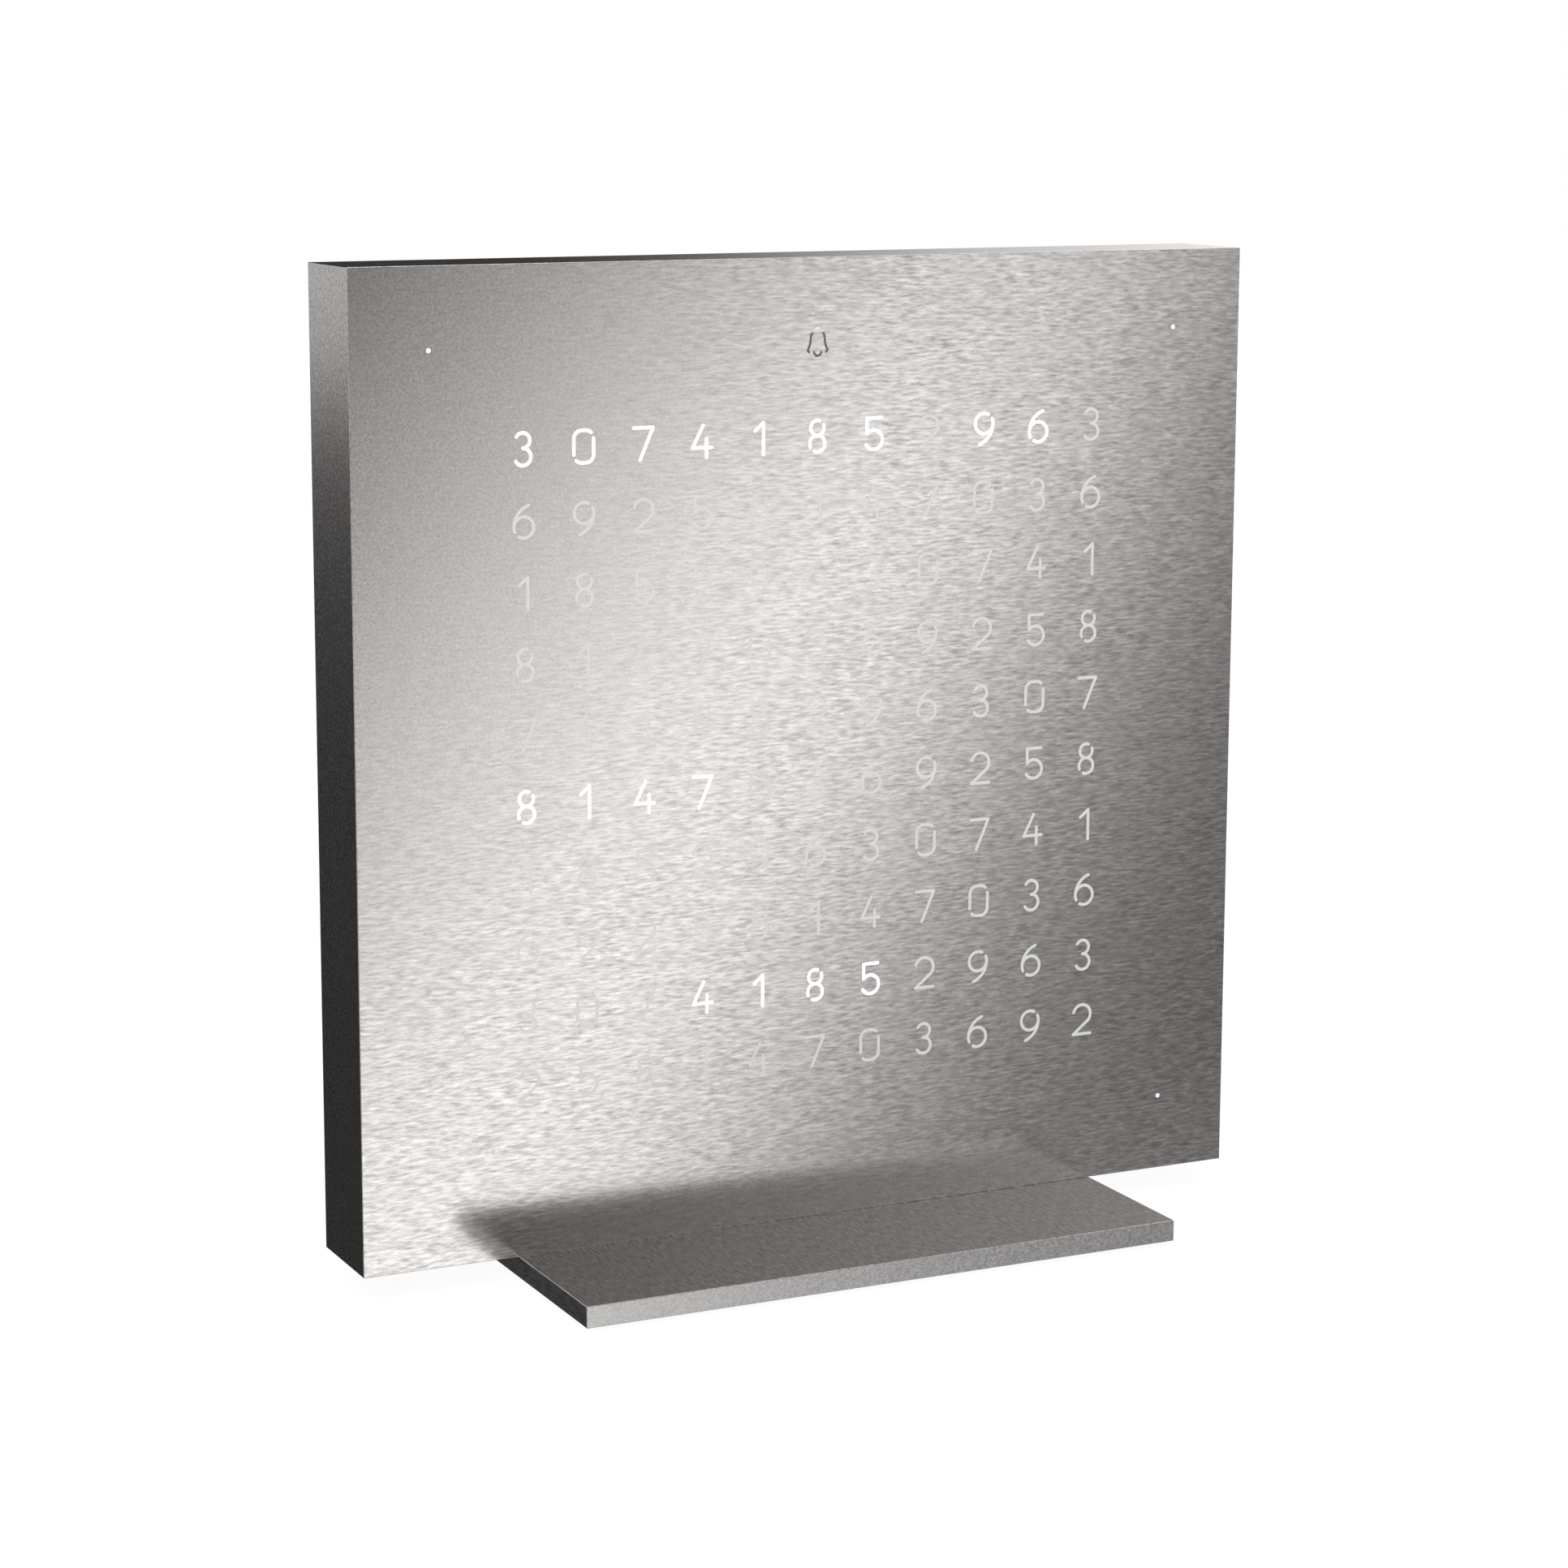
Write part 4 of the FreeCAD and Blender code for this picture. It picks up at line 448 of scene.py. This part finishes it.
def make_world(stage):
    """White to the camera and through glass, an even sky to matt surfaces, the cards to shiny ones."""
    world = bpy.data.worlds.new("studio")
    world.use_nodes = True
    tree = world.node_tree
    tree.nodes.clear()
    path = add(tree, "LightPath")
    level = studio_level(tree)
    sky = mixed(tree, path.outputs["Is Glossy Ray"], stage.sky_level, level)
    direct = maths(tree, "MAXIMUM", path.outputs["Is Camera Ray"], path.outputs["Is Transmission Ray"])
    seen = mixed(tree, direct, sky, 1.0)
    back = add(tree, "Background", {"Color": linear("#ffffff"), "Strength": seen})
    add(tree, "OutputWorld", {"Surface": back.outputs["Background"]})
    bpy.context.scene.world = world


def floor_material():
    """White laminate table top, matt: it keeps a faint shadow and is near white to the camera."""
    material, tree = new_material("white_laminate_table")
    matt = add(tree, "BsdfDiffuse", {"Color": linear("#f4f4f4")}).outputs["BSDF"]
    white = {"Color": linear("#ffffff"), "Strength": FLOOR_WHITE}
    glow = add(tree, "Emission", white).outputs["Emission"]
    seen = add(tree, "LightPath").outputs["Is Camera Ray"]
    share = maths(tree, "MULTIPLY", seen, FLOOR_SHARE)
    show(tree, add(tree, "MixShader", {0: share, 1: matt, 2: glow}).outputs["Shader"])
    return material


def make_floor(stage):
    """A flat square under the clock."""
    half = stage.floor_size / 2
    corners = np.array([(-1, -1, 0), (1, -1, 0), (1, 1, 0), (-1, 1, 0)]) * half
    mesh = bpy.data.meshes.new("floor")
    mesh.from_pydata(corners.tolist(), [], [(0, 1, 2, 3)])
    mesh.materials.append(floor_material())
    floor = bpy.data.objects.new("floor", mesh)
    floor.visible_glossy = False
    bpy.context.scene.collection.objects.link(floor)


def make_lamp(name, place, size, power):
    """A square soft lamp at a place, turned to the middle of the clock."""
    lamp = bpy.data.lights.new(name, "AREA")
    lamp.size = size
    lamp.energy = power
    holder = bpy.data.objects.new(name, lamp)
    holder.location = place
    target = Vector((0, 0, FIELD_MIDDLE))
    holder.rotation_euler = (target - Vector(place)).to_track_quat("-Z", "Y").to_euler()
    bpy.context.scene.collection.objects.link(holder)


def make_camera(stage):
    """A camera at the photograph's place and angle."""
    lens = bpy.data.cameras.new("camera")
    lens.sensor_width = 36
    lens.lens = stage.camera_lens
    lens.shift_x = stage.camera_shift[0]
    lens.shift_y = stage.camera_shift[1]
    lens.clip_start = 0.01
    holder = bpy.data.objects.new("camera", lens)
    holder.location = stage.camera_place
    holder.rotation_euler = (math.pi / 2 - stage.camera_tilt, 0, -stage.camera_turn)
    bpy.context.scene.collection.objects.link(holder)
    bpy.context.scene.camera = holder


class WordClockCase(bpy.types.PropertyGroup):
    """Sizes of the finish on the steel and of the light in the face."""

    scratch_length: FloatProperty(
        name="Scratch length", description="Length of a brushed scratch",
        default=1.9 * MM, unit="LENGTH",
    )
    scratch_width: FloatProperty(
        name="Scratch width", description="Spacing of the brushed scratches",
        default=0.36 * MM, unit="LENGTH",
    )
    scratch_depth: FloatProperty(
        name="Scratch depth", description="Depth of the brushed scratches",
        default=0.006 * MM, unit="LENGTH", precision=6,
    )
    steel_roughness: FloatProperty(
        name="Steel roughness", description="How much the steel blurs what it mirrors",
        default=0.18, subtype="FACTOR",
    )
    lit_strength: FloatProperty(
        name="Lit strength", description="Brightness of the lit numerals", default=0.45
    )
    lens_spread: FloatProperty(
        name="Lens spread", description="How far a lit numeral's resin laps over the steel",
        default=0.015 * MM, unit="LENGTH", precision=6,
    )
    lens_lift: FloatProperty(
        name="Lens lift", description="How far the lit resin stands out of the steel",
        default=0.03 * MM, unit="LENGTH", precision=6,
    )
    lens_rings: IntProperty(name="Lens rings", description="Steps in the rim of a lens", default=3)


class WordClockStage(bpy.types.PropertyGroup):
    """Sizes of the studio."""

    floor_size: FloatProperty(
        name="Floor size", description="Side of the floor", default=12, unit="LENGTH"
    )
    sky_level: FloatProperty(
        name="Sky level", description="Brightness of the even light", default=0.6
    )
    lamp_size: FloatProperty(
        name="Lamp size", description="Side of a square lamp", default=1.6, unit="LENGTH"
    )
    key_power: FloatProperty(
        name="Key lamp", description="Power of the key lamp", default=10.5, unit="POWER"
    )
    fill_power: FloatProperty(
        name="Fill lamp", description="Power of the fill lamp", default=9, unit="POWER"
    )
    camera_place: FloatVectorProperty(
        name="Camera place", description="Where the camera stands",
        default=(-0.2299, -0.46935, 0.1626), subtype="TRANSLATION", unit="LENGTH",
    )
    camera_turn: FloatProperty(
        name="Camera turn", description="How far the camera looks to the right of +Y",
        default=math.radians(25.09), subtype="ANGLE", unit="ROTATION",
    )
    camera_tilt: FloatProperty(
        name="Camera tilt", description="How far the camera looks down",
        default=math.radians(9.78), subtype="ANGLE", unit="ROTATION",
    )
    camera_lens: FloatProperty(
        name="Camera lens", description="Focal length in millimetres", default=86.66
    )
    camera_shift: FloatVectorProperty(
        name="Camera shift", description="Shift of the frame, in frame widths",
        default=(0.0367, -0.0357), size=2,
    )


class FinishCase(bpy.types.Operator):
    """Brushes the steel case"""

    bl_idname = "word_clock.finish_case"
    bl_label = "Finish the case"

    def execute(self, context):
        dress(brushed_stainless(context.scene.word_clock_case), "face_shell")
        return {"FINISHED"}


class FinishFoot(bpy.types.Operator):
    """Finishes the foot plate, its pad, its block and its screws"""

    bl_idname = "word_clock.finish_foot"
    bl_label = "Finish the foot"

    def execute(self, context):
        dress(satin_stainless(context.scene.word_clock_case), "base_plate")
        dress(moulded("cut_neoprene_sheet", "#141414", "#202020", 0.8, 0.6 * MM, 0.03 * MM), "base_pad")
        plated = worked_metal("zinc_plated_steel", "#a9abae", "#c3c5c7", 0.35, 2 * MM, 0.4 * MM, 0.003 * MM)
        dress(plated, "foot_block")
        dress(blackened_steel("blackened_screw_steel"), "foot_screws")
        return {"FINISHED"}


class FinishNumerals(bpy.types.Operator):
    """Fills the face's slots with milky and smoked epoxy"""

    bl_idname = "word_clock.finish_numerals"
    bl_label = "Finish the numerals"

    def execute(self, context):
        dress(milky_epoxy(), "numeral_inlays")
        dress(smoked_epoxy(), "bell_inlay")
        return {"FINISHED"}


class LightNumerals(bpy.types.Operator):
    """Puts a low glowing lens over each lit numeral and minute dot"""

    bl_idname = "word_clock.light_numerals"
    bl_label = "Light the numerals"

    def execute(self, context):
        case = context.scene.word_clock_case
        points, triangles = lit_front()
        mesh = lens_mesh(points, triangles, case.lens_spread, case.lens_lift, case.lens_rings)
        mesh.materials.append(glowing_epoxy(case))
        lenses = bpy.data.objects.new("lit_numerals", mesh)
        context.scene.collection.objects.link(lenses)
        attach(lenses, "case")
        return {"FINISHED"}


class FinishBack(bpy.types.Operator):
    """Finishes the rear cover, its label, its screws and its buttons"""

    bl_idname = "word_clock.finish_back"
    bl_label = "Finish the back"

    def execute(self, context):
        cover = moulded("moulded_black_abs", "#161616", "#212121", 0.5, 0.7 * MM, 0.04 * MM)
        dress(cover, "rear_cover")
        smooth = moulded("polished_black_abs", "#121213", "#19191a", 0.3, 1.2 * MM, 0.005 * MM)
        dress(smooth, *[f"{name}_button_cap" for name in BUTTONS])
        dress(smooth, *[f"{name}_switch_plunger" for name in BUTTONS])
        film = worked_metal("silver_film", "#b4b6b8", "#c8cacb", 0.4, 3 * MM, 0.5 * MM, 0.002 * MM)
        dress(film, "rating_label")
        dress(blackened_steel("blackened_cover_screws"), "cover_screws", "board_screws")
        return {"FINISHED"}


class FinishSocket(bpy.types.Operator):
    """Finishes the power socket"""

    bl_idname = "word_clock.finish_socket"
    bl_label = "Finish the power socket"

    def execute(self, context):
        nickel = worked_metal("drawn_nickel_shell", "#b5b4b0", "#c9c8c4", 0.28, 2 * MM, 0.3 * MM, 0.002 * MM)
        dress(nickel, "power_socket_shell")
        polyamide = moulded("moulded_black_polyamide", "#141414", "#1c1c1c", 0.45, 0.5 * MM, 0.01 * MM)
        dress(polyamide, "power_socket_tongue")
        return {"FINISHED"}


class FinishInside(bpy.types.Operator):
    """Finishes the light grid, the board and what is soldered to it"""

    bl_idname = "word_clock.finish_inside"
    bl_label = "Finish the inside"

    def execute(self, context):
        white = moulded("moulded_white_abs", "#e4e4e0", "#eeeeea", 0.45, 0.8 * MM, 0.02 * MM)
        dress(white, "light_grid")
        opal = moulded("opal_acrylic_sheet", "#ecedeb", "#f4f4f2", 0.25, 4 * MM, 0.005 * MM)
        dress(opal, "diffuser_sheet")
        resist = moulded("green_solder_resist", "#123c26", "#184a30", 0.3, 0.5 * MM, 0.02 * MM)
        dress(resist, "main_board")
        silicone = moulded("lamp_silicone", "#e9dfa8", "#f1e9bd", 0.3, 0.4 * MM, 0.01 * MM)
        dress(silicone, "lamps")
        black = moulded("moulded_black_epoxy", "#1b1b1c", "#242425", 0.5, 0.3 * MM, 0.02 * MM)
        dress(black, "controller_chip", "lamp_drivers", "resistors", "coin_cell_holder")
        dress(black, "alarm_sounder", "switch_bodies")
        tin = worked_metal("stamped_tinned_steel", "#b9b9b7", "#cccbc9", 0.3, 2 * MM, 0.3 * MM, 0.003 * MM)
        dress(tin, "clock_crystal", "coin_cell_contact", "switch_domes", "face_studs")
        can = worked_metal("drawn_aluminium_can", "#c6c8ca", "#d6d7d8", 0.3, 1 * MM, 0.3 * MM, 0.002 * MM)
        dress(can, "capacitors")
        cell = worked_metal("pressed_cell_steel", "#bdbbb6", "#cecdc8", 0.25, 2 * MM, 0.5 * MM, 0.002 * MM)
        dress(cell, "coin_cell")
        brass = worked_metal("turned_brass", "#b28f4a", "#c9a860", 0.3, 0.3 * MM, 0.3 * MM, 0.003 * MM)
        dress(brass, "board_spacers", "touch_spring")
        return {"FINISHED"}


class BuildStage(bpy.types.Operator):
    """Makes the floor, the studio, the lamps and the camera"""

    bl_idname = "word_clock.build_stage"
    bl_label = "Build the stage"

    def execute(self, context):
        stage = context.scene.word_clock_stage
        make_floor(stage)
        make_world(stage)
        make_lamp("key_lamp", KEY_LAMP_PLACE, stage.lamp_size, stage.key_power)
        make_lamp("fill_lamp", FILL_LAMP_PLACE, stage.lamp_size, stage.fill_power)
        make_camera(stage)
        context.scene.view_settings.view_transform = "Standard"
        return {"FINISHED"}


class WordClockPanel(bpy.types.Panel):
    """Lists the word clock's settings and steps"""

    bl_idname = "VIEW3D_PT_word_clock"
    bl_label = "Word clock"
    bl_space_type = "VIEW_3D"
    bl_region_type = "UI"
    bl_category = "Word clock"

    def draw(self, context):
        for group in (context.scene.word_clock_case, context.scene.word_clock_stage):
            for name in group.__annotations__:
                self.layout.prop(group, name)
        for step in STEPS:
            self.layout.operator(step.bl_idname)


STEPS = (
    FinishCase,
    FinishFoot,
    FinishNumerals,
    LightNumerals,
    FinishBack,
    FinishSocket,
    FinishInside,
    BuildStage,
)
CLASSES = (WordClockCase, WordClockStage, *STEPS, WordClockPanel)


def register():
    """Adds the classes and the two groups of settings."""
    for item in CLASSES:
        bpy.utils.register_class(item)
    bpy.types.Scene.word_clock_case = PointerProperty(type=WordClockCase)
    bpy.types.Scene.word_clock_stage = PointerProperty(type=WordClockStage)


def unregister():
    """Takes the groups of settings and the classes away again."""
    del bpy.types.Scene.word_clock_case
    del bpy.types.Scene.word_clock_stage
    for item in reversed(CLASSES):
        bpy.utils.unregister_class(item)


def main():
    """Runs every step in order."""
    register()
    bpy.ops.word_clock.finish_case()
    bpy.ops.word_clock.finish_foot()
    bpy.ops.word_clock.finish_numerals()
    bpy.ops.word_clock.light_numerals()
    bpy.ops.word_clock.finish_back()
    bpy.ops.word_clock.finish_socket()
    bpy.ops.word_clock.finish_inside()
    bpy.ops.word_clock.build_stage()


if __name__ == "__main__":
    main()
